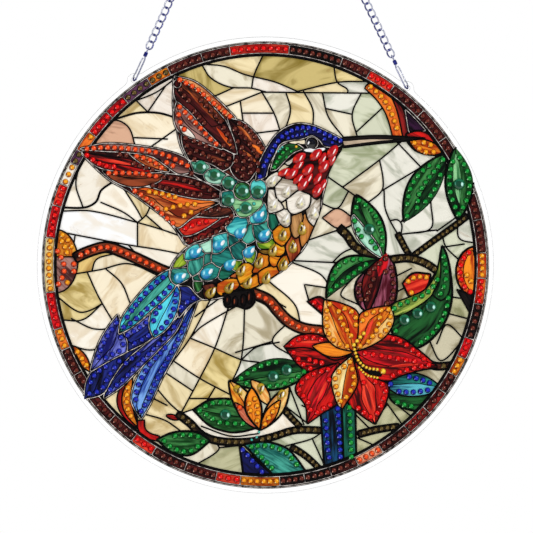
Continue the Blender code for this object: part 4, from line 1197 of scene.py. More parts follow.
def divide(field):
    """Cuts the disc along every outline and line, and gives the triangles with the cell that each is in."""
    points, edges, faces, edge_cut = [], [], [], []
    for number, item in enumerate(cuts):
        first = len(points)
        points += list(item["points"])
        for i in range(first, len(points) - 1):
            edges.append((i, i + 1))
            edge_cut.append(number)
    for patch in patches:
        first = len(points)
        points += list(patch["outline"])
        faces.append(list(range(first, len(points))))
    reach = np.arange(-RIM_RADIUS, RIM_RADIUS, FILL_STEP)
    grid = np.array([(x + (k % 2) * FILL_STEP / 2, y) for k, y in enumerate(reach * 0.9) for x in reach])
    grid = grid[np.hypot(*grid.T) < RIM_RADIUS - 1]
    points += list(grid)
    result = delaunay_2d_cdt([Vector(p) for p in points], edges, faces, 0, 1e-4, True)
    verts, out_edges, out_faces, _, from_edges, from_faces = result
    tops, triangles = [], []
    for face, covers in zip(out_faces, from_faces):
        top = top_patch(set(covers))
        if top >= 0:
            tops.append(top)
            triangles.append(face)
    sides = {}
    for number, face in enumerate(triangles):
        for i in range(3):
            sides.setdefault(frozenset((face[i], face[(i + 1) % 3])), []).append(number)
    lead = {}
    cell = list(range(len(triangles)))

    def root(i):
        while cell[i] != i:
            cell[i] = cell[cell[i]]
            i = cell[i]
        return i

    for edge, origins in zip(out_edges, from_edges):
        shared = sides.get(frozenset(edge), [])
        if len(shared) < 2:
            continue
        a, b = shared[:2]
        if tops[a] != tops[b]:
            upper, lower = max(tops[a], tops[b]), min(tops[a], tops[b])
            line = patches[upper]["line"]
            if line == "none":
                line = patches[lower]["line"] if patches[lower]["line"] == "border" else "none"
            lead[frozenset(edge)] = line
            continue
        lines = [cuts[edge_cut[o]] for o in origins if o < len(edges)]
        lines = [item["line"] for item in lines if item["patch"] == tops[a]]
        if lines:
            lead[frozenset(edge)] = max(lines, key=lambda name: LINES[name][0])
        else:
            cell[root(a)] = root(b)
    cells = [root(i) for i in range(len(triangles))]
    drop_stubs(lead, [e for e in lead if len({cells[i] for i in sides[e][:2]}) == 1], verts)
    return np.array([tuple(v) for v in verts]), triangles, tops, cells, lead


def field_glass(spot):
    """The glass of the named place that is nearest."""
    near = {tone: np.hypot(*(np.array(places) - spot).T).min() for tone, places in FIELD_ZONES.items()}
    return min(near, key=near.get)


def stand(mesh):
    """Stands a flat drawing's mesh upright in the row frame."""
    mesh.transform(FACE)
    mesh.update()
    return mesh


def new_object(name, data):
    """A new object, in the scene."""
    made = bpy.data.objects.new(name, data)
    bpy.context.scene.collection.objects.link(made)
    return made


def add_piece(name, mesh, *materials):
    for material in materials:
        mesh.materials.append(material)
    return new_object(name, mesh)


def fill_layer(mesh, name, kind, domain, values):
    """A named layer of numbers, vectors or colours on a mesh."""
    field = {"FLOAT": "value", "FLOAT_VECTOR": "vector", "FLOAT_COLOR": "color"}[kind]
    layer = mesh.attributes.new(name, kind, domain)
    layer.data.foreach_set(field, np.array(values, np.float32).ravel())


def picture_mesh(field, verts, triangles, tops, cells, lead_points):
    """The film, with the picture on its front and, as it shows through, on its back."""
    used, triangles = np.unique(np.array(triangles), return_inverse=True)
    verts, triangles = verts[used], triangles.reshape(-1, 3)
    tops, cells = np.array(tops), np.array(cells)
    a, b, c = (verts[triangles[:, k]] for k in range(3))
    flipped = np.cross(b - a, c - a) < 0
    triangles[flipped] = triangles[flipped][:, ::-1]
    centres = verts[triangles].mean(axis=1)
    count = len(triangles)
    dark, light, grain, marble = (np.zeros((count, 3, 3)) for _ in range(4))
    rng = np.random.default_rng(SEED)
    for cell in sorted(set(cells.tolist())):
        chosen = np.where(cells == cell)[0]
        patch = patches[tops[chosen[0]]]
        tone, axis, seed = patch["tone"], patch["axis"], patch["seed"]
        if isinstance(tone, tuple):
            _, off = along_axis(centres[chosen].mean(axis=0)[None], axis)
            tone = tone[max(0, min(len(tone) - 1, int(len(tone) * (0.5 - off[0] / patch["width"]))))]
        if tops[chosen[0]] == field:
            spot = centres[chosen].mean(axis=0)
            tone = field_glass(spot)
            turn = rng.uniform(0, pi)
            axis = np.array([spot, spot + (cos(turn), sin(turn))])
            seed = rng.uniform(0, 90)
        shift = 1 + rng.uniform(-0.07, 0.07)
        dark[chosen] = np.array(linear(GLASS[tone][0])) * shift
        light[chosen] = np.array(linear(GLASS[tone][1])) * min(shift, 1.0)
        marble[chosen] = 1.0 if tone in PALE else 0.0
        u, v = along_axis(verts[triangles[chosen]].reshape(-1, 2), axis)
        grain[chosen] = np.stack([u, v, np.full(len(u), seed)], axis=1).reshape(-1, 3, 3)
    total = len(verts)
    front, back = (np.hstack([verts, np.full((total, 1), height)]) for height in (0, -PICTURE_THICK))
    on_rim = {}
    for face in triangles.tolist():
        for a, b in zip(face, face[1:] + face[:1]):
            if (b, a) in on_rim:
                del on_rim[(b, a)]
            else:
                on_rim[(a, b)] = True
    wall = [(b, a, a + total, b + total) for a, b in on_rim]
    mesh = bpy.data.meshes.new("picture")
    faces = triangles.tolist() + (triangles[:, ::-1] + total).tolist() + wall
    mesh.from_pydata(np.vstack([front, back]).tolist(), [], faces)

    def corner_values(values):
        edge = np.tile(values[:1, 0], (4 * len(wall), 1))
        return np.vstack([values.reshape(-1, 3), values[:, ::-1].reshape(-1, 3), edge])

    for name, values in (("glass_dark", dark), ("glass_light", light), ("marble", marble)):
        flat = corner_values(values)
        fill_layer(mesh, name, "FLOAT_COLOR", "CORNER", np.hstack([flat, np.ones((len(flat), 1))]))
    fill_layer(mesh, "grain", "FLOAT_VECTOR", "CORNER", corner_values(grain))
    fill_layer(mesh, "from_lead", "FLOAT", "POINT", np.tile(nearest(verts, lead_points), 2))
    return mesh


# ---------------------------------------------------------------- Geometry Nodes


def node(tree, kind, inputs=None, **settings):
    """A node with its settings, and its inputs set or linked by name or number."""
    made = tree.nodes.new(kind)
    for key, value in settings.items():
        setattr(made, key, value)
    for key, value in (inputs or {}).items():
        if isinstance(value, bpy.types.NodeSocket):
            tree.links.new(value, made.inputs[key])
        else:
            made.inputs[key].default_value = value
    return made


def new_tree(name, kind, inputs, outputs):
    """A node tree with named inputs (name, socket type, value) and outputs (name, socket type)."""
    tree = bpy.data.node_groups.new(name, kind)
    for label, socket, value in inputs:
        made = tree.interface.new_socket(label, in_out="INPUT", socket_type="NodeSocket" + socket)
        if value is not None:
            made.default_value = value
    for label, socket in outputs:
        tree.interface.new_socket(label, in_out="OUTPUT", socket_type="NodeSocket" + socket)
    return tree, tree.nodes.new("NodeGroupInput").outputs, tree.nodes.new("NodeGroupOutput").inputs


def grown(name, mesh, tree, values):
    """The plain mesh that a Geometry Nodes tree makes of a mesh, with its named inputs set."""
    maker = new_object(name, mesh)
    modifier = maker.modifiers.new("grow", "NODES")
    modifier.node_group = tree
    for item in tree.interface.items_tree:
        if item.item_type == "SOCKET" and item.in_out == "INPUT" and item.name in values:
            modifier[item.identifier] = values[item.name]
    depsgraph = bpy.context.evaluated_depsgraph_get()
    result = bpy.data.meshes.new_from_object(
        maker.evaluated_get(depsgraph), preserve_all_data_layers=True, depsgraph=depsgraph
    )
    maker.modifiers.remove(modifier)
    bpy.data.objects.remove(maker)
    result.name = name
    return result


def read_attribute(tree, name, kind="FLOAT"):
    return node(tree, "GeometryNodeInputNamedAttribute", {"Name": name}, data_type=kind).outputs["Attribute"]


def maths(tree, operation, *values, **settings):
    return node(tree, "ShaderNodeMath", dict(enumerate(values)), operation=operation, **settings).outputs[0]


def vector_maths(tree, operation, *values, output=0):
    return node(tree, "ShaderNodeVectorMath", dict(enumerate(values)), operation=operation).outputs[output]


def mixed(tree, factor, a, b):
    """A colour between two."""
    return node(tree, "ShaderNodeMix", {"Factor": factor, 6: a, 7: b}, data_type="RGBA").outputs[2]


def ranged(tree, value, low, high, start, end, kind="LINEAR"):
    """A value carried from one range to another."""
    return node(tree, "ShaderNodeMapRange", {
        "Value": value, "From Min": low, "From Max": high, "To Min": start, "To Max": end,
    }, interpolation_type=kind).outputs["Result"]


def painted(tree, geometry, material):
    made = node(tree, "GeometryNodeSetMaterial", {"Geometry": geometry, "Material": material})
    return made.outputs["Geometry"]


def some_vector(tree, most, seed):
    """A random vector, each of its numbers up to so much either way."""
    least = vector_maths(tree, "MULTIPLY", most, (-1, -1, -1))
    made = node(tree, "FunctionNodeRandomValue", {0: least, 1: most, "Seed": seed}, data_type="FLOAT_VECTOR")
    return made.outputs[0]


def lead_tree():
    """Raised strips along drawn lines: a low ridge as wide as each point's half width."""
    tree, given, result = new_tree(
        "lead_strips", "GeometryNodeTree",
        [("Lines", "Geometry", None), ("Rise", "Float", 0.2), ("Spacing", "Float", 1.0), ("Sides", "Int", 4),
         ("Material", "Material", None)],
        [("Strips", "Geometry")],
    )
    curves = node(tree, "GeometryNodeMeshToCurve", {"Mesh": given["Lines"]}).outputs["Curve"]
    even = node(tree, "GeometryNodeResampleCurve", {
        "Curve": curves, "Length": given["Spacing"],
    }, mode="LENGTH")
    ring = node(tree, "GeometryNodeCurvePrimitiveCircle", {"Resolution": given["Sides"], "Radius": 1.0})
    squash = node(tree, "ShaderNodeCombineXYZ", {"X": 1.0, "Y": given["Rise"], "Z": 1.0}).outputs["Vector"]
    ridge = node(tree, "GeometryNodeTransform", {"Geometry": ring.outputs["Curve"], "Scale": squash})
    strips = node(tree, "GeometryNodeCurveToMesh", {
        "Curve": even.outputs["Curve"], "Profile Curve": ridge.outputs["Geometry"],
        "Scale": read_attribute(tree, "half"), "Fill Caps": True,
    })
    smooth = node(tree, "GeometryNodeSetShadeSmooth", {
        "Geometry": strips.outputs["Mesh"], "Shade Smooth": True,
    }).outputs["Geometry"]
    real = node(tree, "GeometryNodeRealizeInstances", {"Geometry": smooth}).outputs["Geometry"]
    tree.links.new(painted(tree, real, given["Material"]), result["Strips"])
    return tree


def stones_tree():
    """One stone on each point, turned and tipped a little by a seed."""
    tree, given, result = new_tree(
        "set_stones", "GeometryNodeTree",
        [("Places", "Geometry", None), ("Stone", "Object", None), ("Tip", "Float", 0.05), ("Seed", "Int", 1),
         ("Material", "Material", None)],
        [("Stones", "Geometry")],
    )
    stone = node(tree, "GeometryNodeObjectInfo", {"Object": given["Stone"]}).outputs["Geometry"]
    tip = node(tree, "ShaderNodeCombineXYZ", {"X": given["Tip"], "Y": given["Tip"], "Z": pi}).outputs[0]
    placed = node(tree, "GeometryNodeInstanceOnPoints", {
        "Points": given["Places"], "Instance": stone, "Rotation": some_vector(tree, tip, given["Seed"]),
        "Scale": read_attribute(tree, "size"),
    }).outputs["Instances"]
    real = node(tree, "GeometryNodeRealizeInstances", {"Geometry": placed}).outputs["Geometry"]
    # Painted light: each facet's share from shaded to lit colour, set by which way it leans, with a random
    # cast
    cast = node(tree, "FunctionNodeRandomValue", {2: -0.4, 3: 0.4, "Seed": given["Seed"]}, data_type="FLOAT")
    facing = node(tree, "GeometryNodeInputNormal").outputs["Normal"]
    lean = vector_maths(tree, "DOT_PRODUCT", facing, PAINTED_LIGHT_WAY, output="Value")
    value = maths(tree, "ADD", maths(tree, "ADD", lean, PAINTED_LIGHT_LEVEL), cast.outputs[1], use_clamp=True)
    facets = node(tree, "GeometryNodeStoreNamedAttribute", {
        "Geometry": real, "Name": "facet", "Value": value,
    }, data_type="FLOAT", domain="FACE").outputs["Geometry"]
    here = node(tree, "GeometryNodeInputPosition").outputs["Position"]
    off = vector_maths(tree, "SUBTRACT", here, read_attribute(tree, "middle", "FLOAT_VECTOR"))
    reach = maths(tree, "MULTIPLY", read_attribute(tree, "size"), STONE_RADIUS)
    places = node(tree, "GeometryNodeStoreNamedAttribute", {
        "Geometry": facets, "Name": "place", "Value": vector_maths(tree, "DIVIDE", off, reach),
    }, data_type="FLOAT_VECTOR", domain="POINT").outputs["Geometry"]
    tree.links.new(painted(tree, places, given["Material"]), result["Stones"])
    return tree


# ---------------------------------------------------------------- cut stones


def round_loop(angle):
    return cos(angle), sin(angle)


def drop_loop(angle):
    """A teardrop, its point at +X."""
    return cos(angle), 1.3 * sin(angle) * sin(angle / 2)


def marquise_loop(angle):
    return cos(angle), sin(angle) * (0.72 + 0.28 * abs(sin(angle)))


def cut_stone(shape, loop, length, width, height, sides, tiers, matrix=Matrix()):
    """Adds a faceted stone: rings of staggered facets up to a flat table.

    tiers are the rings from the back up: share of the size, share of the height.
    """
    tier_layer = shape.verts.layers.float.get("tier") or shape.verts.layers.float.new("tier")
    rings = []
    for number, (share, rise) in enumerate(tiers):
        ring = []
        for i in range(sides):
            x, y = loop(tau * (i + 0.5 * (number % 2)) / sides)
            place = Vector((x * share * length / 2, y * share * width / 2, rise * height))
            vert = shape.verts.new(matrix @ place)
            vert[tier_layer] = 1 - share
            ring.append(vert)
        rings.append(ring)
    for number, (low, high) in enumerate(zip(rings, rings[1:])):
        for i in range(sides):
            j = (i + 1) % sides
            if number % 2:
                shape.faces.new((low[i], high[j], high[i]))
                shape.faces.new((low[i], low[j], high[j]))
            else:
                shape.faces.new((low[i], low[j], high[i]))
                shape.faces.new((low[j], high[j], high[i]))
    shape.faces.new(rings[-1])
    shape.faces.new(rings[0][::-1])


def mesh_of(name, shape):
    mesh = bpy.data.meshes.new(name)
    shape.to_mesh(mesh)
    shape.free()
    return mesh


def stone_template():
    shape = bmesh.new()
    size = STONE_RADIUS * 2
    cut_stone(shape, round_loop, size, size, STONE_HEIGHT, 8,
              ((1, 0), (0.9, 0.42), (0.66, 0.8), (0.36, 1.0)))
    return new_object("small_stone", mesh_of("small_stone", shape))


def owners(points):
    """The patch that shows at each point."""
    covers = [set() for _ in points]
    for number, patch in enumerate(patches):
        low, high = patch["outline"].min(axis=0), patch["outline"].max(axis=0)
        near = np.where(((points >= low) & (points <= high)).all(axis=1))[0]
        if len(near):
            for i in near[inside(points[near], patch["outline"])]:
                covers[i].add(number)
    return np.array([top_patch(c) for c in covers])


def choose_stones(field, lead_points):
    """The wanted stones that lie on their own patch, clear of the leads, the large gems and each other."""
    rims = np.vstack([g["rim"] for g in GEMS])
    gem_spots = np.array([g["centre"] for g in GEMS])
    kept = []
    families = {kind: [] for kind in STONES}
    for wanted in sorted(rows, key=lambda r: -(r["patch"] if r["patch"] is not None else 10**6)):
        points = np.asarray(wanted["points"], float).reshape(-1, 2)
        if not len(points):
            continue
        size = wanted.get("size", 1.0)
        owner = owners(points)
        patch = wanted["patch"]
        if patch is not None:
            own = np.array([o == patch or (o >= 0 and patches[o]["within"] == patch) for o in owner])
            points = points[own & (nearest(points, lead_points) > LEAD_CLEAR * size)]
        for point in points:
            radius = STONE_RADIUS * size
            if np.hypot(*(rims - point).T).min() < radius + GEM_CLEAR:
                continue
            if np.hypot(*(gem_spots - point).T).min() < GEM_CORE:
                continue
            if kept and min(np.hypot(*(k[:2] - point)) - k[2] - radius for k in kept) < STONE_CLEAR:
                continue
            kept.append(np.array((*point, radius)))
            families[wanted["kind"]].append((*point, size))
    return families


# ---------------------------------------------------------------- shader groups and materials


def glass_group():
    """Streaked glass: streaks along the grain, or slow clouds with thin veins where it is marbled."""
    tree, given, result = new_tree(
        "streaked_glass", "ShaderNodeTree",
        [("Dark", "Color", (0, 0, 0, 1)), ("Light", "Color", (1, 1, 1, 1)), ("Grain", "Vector", None),
         ("From lead", "Float", 1.0), ("Marble", "Float", 0.0), ("Vein", "Color", (0.4, 0.2, 0.1, 1)),
         ("Shade", "Float", 0.4)],
        [("Color", "Color"), ("Roughness", "Float")],
    )

    def streak(stretch, detail, shift, distortion=0.4):
        place = vector_maths(tree, "ADD", vector_maths(tree, "MULTIPLY", given["Grain"], stretch), shift)
        return node(tree, "ShaderNodeTexNoise", {
            "Vector": place, "Scale": 1.0, "Detail": detail, "Roughness": 0.55, "Distortion": distortion,
        }).outputs["Fac"]

    fine = streak((0.10, 0.85, 1.0), 3.0, (3, 1, 0))
    broad = streak((0.035, 0.20, 1.0), 2.0, (9, 5, 2))
    cloud = streak((0.045, 0.12, 1.0), 3.0, (4, 7, 5), 1.2)
    streaks = node(tree, "ShaderNodeMix", {"Factor": 0.5, "A": broad, "B": fine}).outputs["Result"]
    hard = ranged(tree, streaks, 0.40, 0.60, 0.0, 1.0, "SMOOTHSTEP")
    soft = ranged(tree, cloud, 0.32, 0.58, 0.0, 1.0, "SMOOTHSTEP")
    share = node(tree, "ShaderNodeMix", {"Factor": given["Marble"], "A": hard, "B": soft}).outputs["Result"]
    colour = mixed(tree, share, given["Dark"], given["Light"])
    ridge = maths(tree, "ABSOLUTE", maths(tree, "SUBTRACT", cloud, 0.47))
    thin = maths(tree, "MULTIPLY", ranged(tree, ridge, 0.0, 0.006, 0.30, 0.0), given["Marble"])
    vein = maths(tree, "MULTIPLY", thin, ranged(tree, broad, 0.45, 0.6, 0.0, 1.0))
    veined = mixed(tree, vein, colour, given["Vein"])
    dim = maths(tree, "MULTIPLY", ranged(tree, given["From lead"], 0.35, 1.1, 1.0, 0.0), given["Shade"])
    keep = maths(tree, "SUBTRACT", 1.0, dim)
    shaded = node(tree, "ShaderNodeVectorMath", {0: veined, "Scale": keep}, operation="SCALE")
    tree.links.new(shaded.outputs[0], result["Color"])
    tree.links.new(ranged(tree, fine, 0.3, 0.7, 0.4, 0.6), result["Roughness"])
    return tree


def stone_group():
    """A foil-backed stone with painted light: dark at the girdle, a painted shadow, and at the table, its
    crown facets painted from shaded to lit.
    """
    tree, given, result = new_tree(
        "foiled_stone", "ShaderNodeTree",
        [("Edge", "Color", (0, 0, 0, 1)), ("Shaded", "Color", (0.4, 0.4, 0.4, 1)),
         ("Lit", "Color", (1, 1, 1, 1)), ("Table", "Color", (0.2, 0.2, 0.2, 1)), ("Tier", "Float", 0.5),
         ("Facet", "Float", 0.5), ("Rim", "Float", 0.1), ("Table share", "Float", 0.55)],
        [("Color", "Color"), ("Roughness", "Float")],
    )
    # The girdle's dark colour is a painted shadow; the crown's colour is painted light
    inward = ranged(tree, given["Tier"], 0.0, given["Rim"], 0.0, 1.0, "SMOOTHSTEP")
    on_table = maths(tree, "GREATER_THAN", given["Tier"], given["Table share"])
    crown = mixed(tree, given["Facet"], given["Shaded"], given["Lit"])
    faced = mixed(tree, on_table, crown, given["Table"])
    tree.links.new(mixed(tree, inward, given["Edge"], faced), result["Color"])
    tree.links.new(ranged(tree, given["Facet"], 0.0, 1.0, 0.1, 0.25), result["Roughness"])
    return tree


def oval_group():
    """A soft-edged oval on the flat place of a gem, for its painted highlights, glows and dark core."""
    tree, given, result = new_tree(
        "oval_window", "ShaderNodeTree",
        [("Place", "Vector", None), ("Centre", "Vector", (0, 0, 0)), ("Size", "Vector", (1, 1, 1)),
         ("Turn", "Vector", (0, 0, 0)), ("Softness", "Float", 0.3)],
        [("Mask", "Float")],
    )
    moved = vector_maths(tree, "SUBTRACT", given["Place"], given["Centre"])
    turned = node(tree, "ShaderNodeVectorRotate", {
        "Vector": moved, "Rotation": given["Turn"],
    }, rotation_type="EULER_XYZ", invert=True).outputs[0]
    out = vector_maths(tree, "LENGTH", vector_maths(tree, "DIVIDE", turned, given["Size"]), output="Value")
    start = maths(tree, "SUBTRACT", 1.0, given["Softness"])
    tree.links.new(ranged(tree, out, start, 1.0, 1.0, 0.0, "SMOOTHSTEP"), result["Mask"])
    return tree


def new_material(name, **sockets):
    """A Principled material with constant sockets set by name."""
    material = bpy.data.materials.new(name)
    material.use_nodes = True
    shader = material.node_tree.nodes["Principled BSDF"]
    for key, value in sockets.items():
        shader.inputs[key.replace("_", " ")].default_value = value
    return material, material.node_tree, shader


def group_node(tree, group, **values):
    made = tree.nodes.new("ShaderNodeGroup")
    made.node_tree = group
    for key, value in values.items():
        socket = made.inputs[key.replace("_", " ")]
        if isinstance(value, bpy.types.NodeSocket):
            tree.links.new(value, socket)
        else:
            socket.default_value = (*linear(value), 1) if isinstance(value, tuple) else value
    return made


def attribute(tree, name, output="Fac"):
    return node(tree, "ShaderNodeAttribute", attribute_name=name).outputs[output]


def coat(tree, shader, colour, finish):
    """Gives a material its colour, and the roughness that a group's node works out."""
    tree.links.new(colour, shader.inputs["Base Color"])
    tree.links.new(finish.outputs["Roughness"], shader.inputs["Roughness"])


def glass_material(group):
    material, tree, shader = new_material("printed_glass", IOR=1.45, Specular_IOR_Level=0.15)
    glass = group_node(
        tree, group, Dark=attribute(tree, "glass_dark", "Color"),
        Light=attribute(tree, "glass_light", "Color"), Grain=attribute(tree, "grain", "Vector"),
        From_lead=attribute(tree, "from_lead"), Marble=attribute(tree, "marble"),
        Vein=(0.58, 0.40, 0.22), Shade=0.3,
    )
    coat(tree, shader, glass.outputs["Color"], glass)
    return material


def stone_material(group, name, colours, rim=0.1, table=0.55, painted_ovals=(), **sockets):
    """A stone's material, with its light and shade painted.

    painted_ovals are ovals of painted highlight, glow and shade on its place: centre, size, turn in degrees,
    softness, colour.
    """
    material, tree, shader = new_material(name, IOR=1.55, **sockets)
    edge, shaded, lit, core = colours
    stone = group_node(
        tree, group, Edge=edge, Shaded=shaded, Lit=lit, Table=core, Tier=attribute(tree, "tier"),
        Facet=attribute(tree, "facet"), Rim=rim, Table_share=table,
    )
    colour = stone.outputs["Color"]
    # Painted highlights, glows and shade laid over the stone's colour
    for centre, size, turn, softness, tint in painted_ovals:
        oval = node(tree, "ShaderNodeGroup", {
            "Place": attribute(tree, "place", "Vector"), "Centre": (*centre, 0), "Size": (*size, 1),
            "Turn": (0, 0, radians(turn)), "Softness": softness,
        }, node_tree=bpy.data.node_groups["oval_window"])
        colour = mixed(tree, oval.outputs["Mask"], colour, (*linear(tint), 1))
    coat(tree, shader, colour, stone)
    return material


def worn_group():
    """Slow and fine unevenness of a finish, read from the object's own coordinates."""
    tree, given, result = new_tree(
        "uneven_finish", "ShaderNodeTree",
        [("Low", "Color", (0, 0, 0, 1)), ("High", "Color", (1, 1, 1, 1)), ("Scale", "Float", 300.0),
         ("Smooth", "Float", 0.2), ("Rough", "Float", 0.4)],
        [("Color", "Color"), ("Roughness", "Float")],
    )
    place = node(tree, "ShaderNodeTexCoord").outputs["Object"]
    cloud = node(tree, "ShaderNodeTexNoise", {"Vector": place, "Scale": given["Scale"], "Detail": 3.0})
    share = ranged(tree, cloud.outputs["Fac"], 0.35, 0.65, 0.0, 1.0)
    tree.links.new(mixed(tree, share, given["Low"], given["High"]), result["Color"])
    tree.links.new(ranged(tree, share, 0.0, 1.0, given["Smooth"], given["Rough"]), result["Roughness"])
    return tree


def plain_material(group, name, low, high, scale, smooth, rough, **sockets):
    material, tree, shader = new_material(name, **sockets)
    finish = group_node(tree, group, Low=low, High=high, Scale=scale, Smooth=smooth, Rough=rough)
    coat(tree, shader, finish.outputs["Color"], finish)
    return material


# ---------------------------------------------------------------- pieces


def lead_lines(verts, lead, bright):
    """The drawn lines as a mesh of edges with their half widths: the dark leads, or the ridges on them."""
    which = 1 if bright else 0
    edges = [(tuple(edge), LINES[line][which]) for edge, line in lead.items() if LINES[line][which] > 0]
    used = sorted({i for edge, _ in edges for i in edge})
    place = {old: new for new, old in enumerate(used)}
    half = np.zeros(len(used))
    for edge, width in edges:
        for i in edge:
            half[place[i]] = max(half[place[i]], width)
    mesh = bpy.data.meshes.new("lines")
    rise = RIDGE_LIFT if bright else 0.0
    mesh.from_pydata([(*verts[i], rise) for i in used], [(place[a], place[b]) for (a, b), _ in edges], [])
    fill_layer(mesh, "half", "FLOAT", "POINT", half)
    return mesh


def set_piece(piece, slot, *nodes):
    if nodes:
        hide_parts(*nodes)
    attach(piece, "root")
    return piece


def make_picture(materials):
    field = draw_picture()
    verts, triangles, tops, cells, lead = divide(field)
    edges = np.array([tuple(e) for e, line in lead.items() if LINES[line][0] > 0.2])
    lead_points = np.vstack([verts[edges[:, 0]], verts[edges].mean(axis=1)])
    mesh = stand(picture_mesh(field, verts, triangles, tops, cells, lead_points))
    set_piece(add_piece("picture", mesh, materials["glass"]), "printed_film", "picture_film")
    strips = lead_tree()
    for name, bright, rise in (("lead_lines", False, 0.4), ("lead_ridges", True, 0.9)):
        values = {"Rise": rise, "Spacing": 1.0, "Material": materials["ridge" if bright else "lead"]}
        made = grown(name, lead_lines(verts, lead, bright), strips, values)
        set_piece(add_piece(name, stand(made)), "printed_film")
    families = choose_stones(field, lead_points)
    template, tree, rng = stone_template(), stones_tree(), np.random.default_rng(SEED)
    for number, (kind, places) in enumerate(families.items()):
        if not places:
            continue
        points = bpy.data.meshes.new(kind)
        points.from_pydata([(x, y, STONE_LIFT) for x, y, _ in places], [], [])
        fill_layer(points, "size", "FLOAT", "POINT", [size for _, _, size in places])
        shifted = np.array([(x, y, 0) for x, y, _ in places]) + rng.uniform(-0.2, 0.2, (len(places), 3))
        fill_layer(points, "middle", "FLOAT_VECTOR", "POINT", shifted)
        values = {"Stone": template, "Tip": 0.05, "Seed": number, "Material": materials[kind]}
        made = grown(f"small_stones_{kind}", points, tree, values)
        set_piece(add_piece(f"small_stones_{kind}", stand(made)), STONE_SLOTS[kind])
    bpy.data.objects.remove(template)


THROAT_FULL = 1.2  # the throat's long gems overlap at their points
ROUND_TIERS = ((1, 0), (0.97, 0.25), (0.8, 0.66), (0.5, 1.0))
DROP_TIERS = ((1, 0), (0.97, 0.2), (0.80, 0.6), (0.55, 0.9), (0.3, 1.0))
GEM_CUTS = {  # loop, sides, tiers, material slot
    "eye": (round_loop, 16, ((1, 0), (0.96, 0.3), (0.8, 0.66), (0.5, 0.93), (0.25, 1.0)), "black_gem"),
    "shoulder": (round_loop, 12, ROUND_TIERS, "emerald_gem"),
    "leaf": (round_loop, 12, ROUND_TIERS, "emerald_gem"),
    "back": (drop_loop, 16, DROP_TIERS, "turquoise_gem"),
    "belly": (drop_loop, 16, DROP_TIERS, "gold_gem"),
    "breast": (drop_loop, 16, DROP_TIERS, "clear_gem"),
    "throat": (marquise_loop, 14, DROP_TIERS, "red_gem"),
    "bud": (drop_loop, 16, DROP_TIERS, "gold_gem"),
}
# Gold gems: painted shadow, shaded, lit and table colours; a painted highlight, painted dark slits and a
# painted glint
GOLD_COLOURS = ((0.42, 0.28, 0.03), (0.58, 0.47, 0.10), (0.84, 0.68, 0.14), (0.66, 0.52, 0.12))
GOLD_PAINTED_OVALS = (
    ((0.36, -0.25), (0.34, 0.30), 60, 0.8, (0.96, 0.90, 0.56)),
    ((-0.12, -0.1), (0.60, 0.20), 84, 0.4, (0.17, 0.07, 0.02)),
    ((0.16, 0.52), (0.44, 0.14), 58, 0.5, (0.17, 0.07, 0.02)),
    ((0.50, 0.26), (0.56, 0.22), 76, 0.35, (1.0, 1.0, 0.96)),
)
GEM_FINISH = {  # girdle's painted shadow, painted shaded and lit facet colours, and table colour; painted highlights, glows and shade as ovals
    "eye": (((0.0, 0.0, 0.0), (0.02, 0.02, 0.02), (0.06, 0.06, 0.06), (0.0, 0.0, 0.0)),
            (((-0.5, 0.1), (0.42, 0.17), 68, 0.3, (1.0, 1.0, 1.0)),)),
    "shoulder": (((0.0, 0.12, 0.09), (0.02, 0.32, 0.22), (0.22, 0.62, 0.48), (0.09, 0.34, 0.20)),
                 (((-0.8, 0.05), (0.24, 0.5), 0, 0.9, (0.45, 0.84, 0.72)),
                  ((-0.06, 0.0), (0.60, 0.60), 0, 0.4, (0.10, 0.33, 0.19)),
                  ((0.64, 0.0), (0.30, 0.40), 0, 0.5, (0.86, 1.0, 0.98)))),
    "leaf": (((0.0, 0.12, 0.07), (0.03, 0.30, 0.18), (0.10, 0.46, 0.30), (0.04, 0.28, 0.18)),
             (((0.52, -0.02), (0.28, 0.42), 0, 0.6, (0.78, 1.0, 0.95)),
              ((-0.62, 0.1), (0.14, 0.42), 10, 0.8, (0.30, 0.62, 0.50)))),
    "back": (((0.04, 0.42, 0.60), (0.10, 0.55, 0.74), (0.30, 0.80, 0.88), (0.12, 0.62, 0.78)),
             (((0.0, -0.72), (0.80, 0.34), 10, 0.8, (0.02, 0.45, 0.74)),
              ((-0.60, -0.04), (0.54, 0.28), 75, 0.9, (0.66, 0.94, 0.98)),
              ((0.48, 0.18), (0.54, 0.30), 58, 0.35, (1.0, 1.0, 1.0)))),
    "belly": (GOLD_COLOURS, GOLD_PAINTED_OVALS),
    "breast": (((0.52, 0.47, 0.38), (0.80, 0.76, 0.68), (0.95, 0.93, 0.88), (0.86, 0.83, 0.76)),
               (((0.24, -0.42), (0.46, 0.26), 60, 0.8, (0.95, 0.92, 0.64)),
                ((-0.42, -0.5), (0.38, 0.30), 20, 0.8, (0.50, 0.48, 0.38)),
                ((0.12, 0.28), (0.78, 0.20), 62, 0.6, (1.0, 1.0, 1.0)))),
    "throat": (((0.30, 0.0, 0.0), (0.58, 0.01, 0.02), (0.86, 0.05, 0.04), (0.70, 0.02, 0.03)),
               (((-0.95, -0.1), (0.62, 0.60), 0, 0.8, (1.0, 0.22, 0.06)),
                ((0.36, 0.05), (0.66, 0.15), 62, 0.3, (1.0, 0.93, 0.92)))),
    "bud": (GOLD_COLOURS, GOLD_PAINTED_OVALS),
}


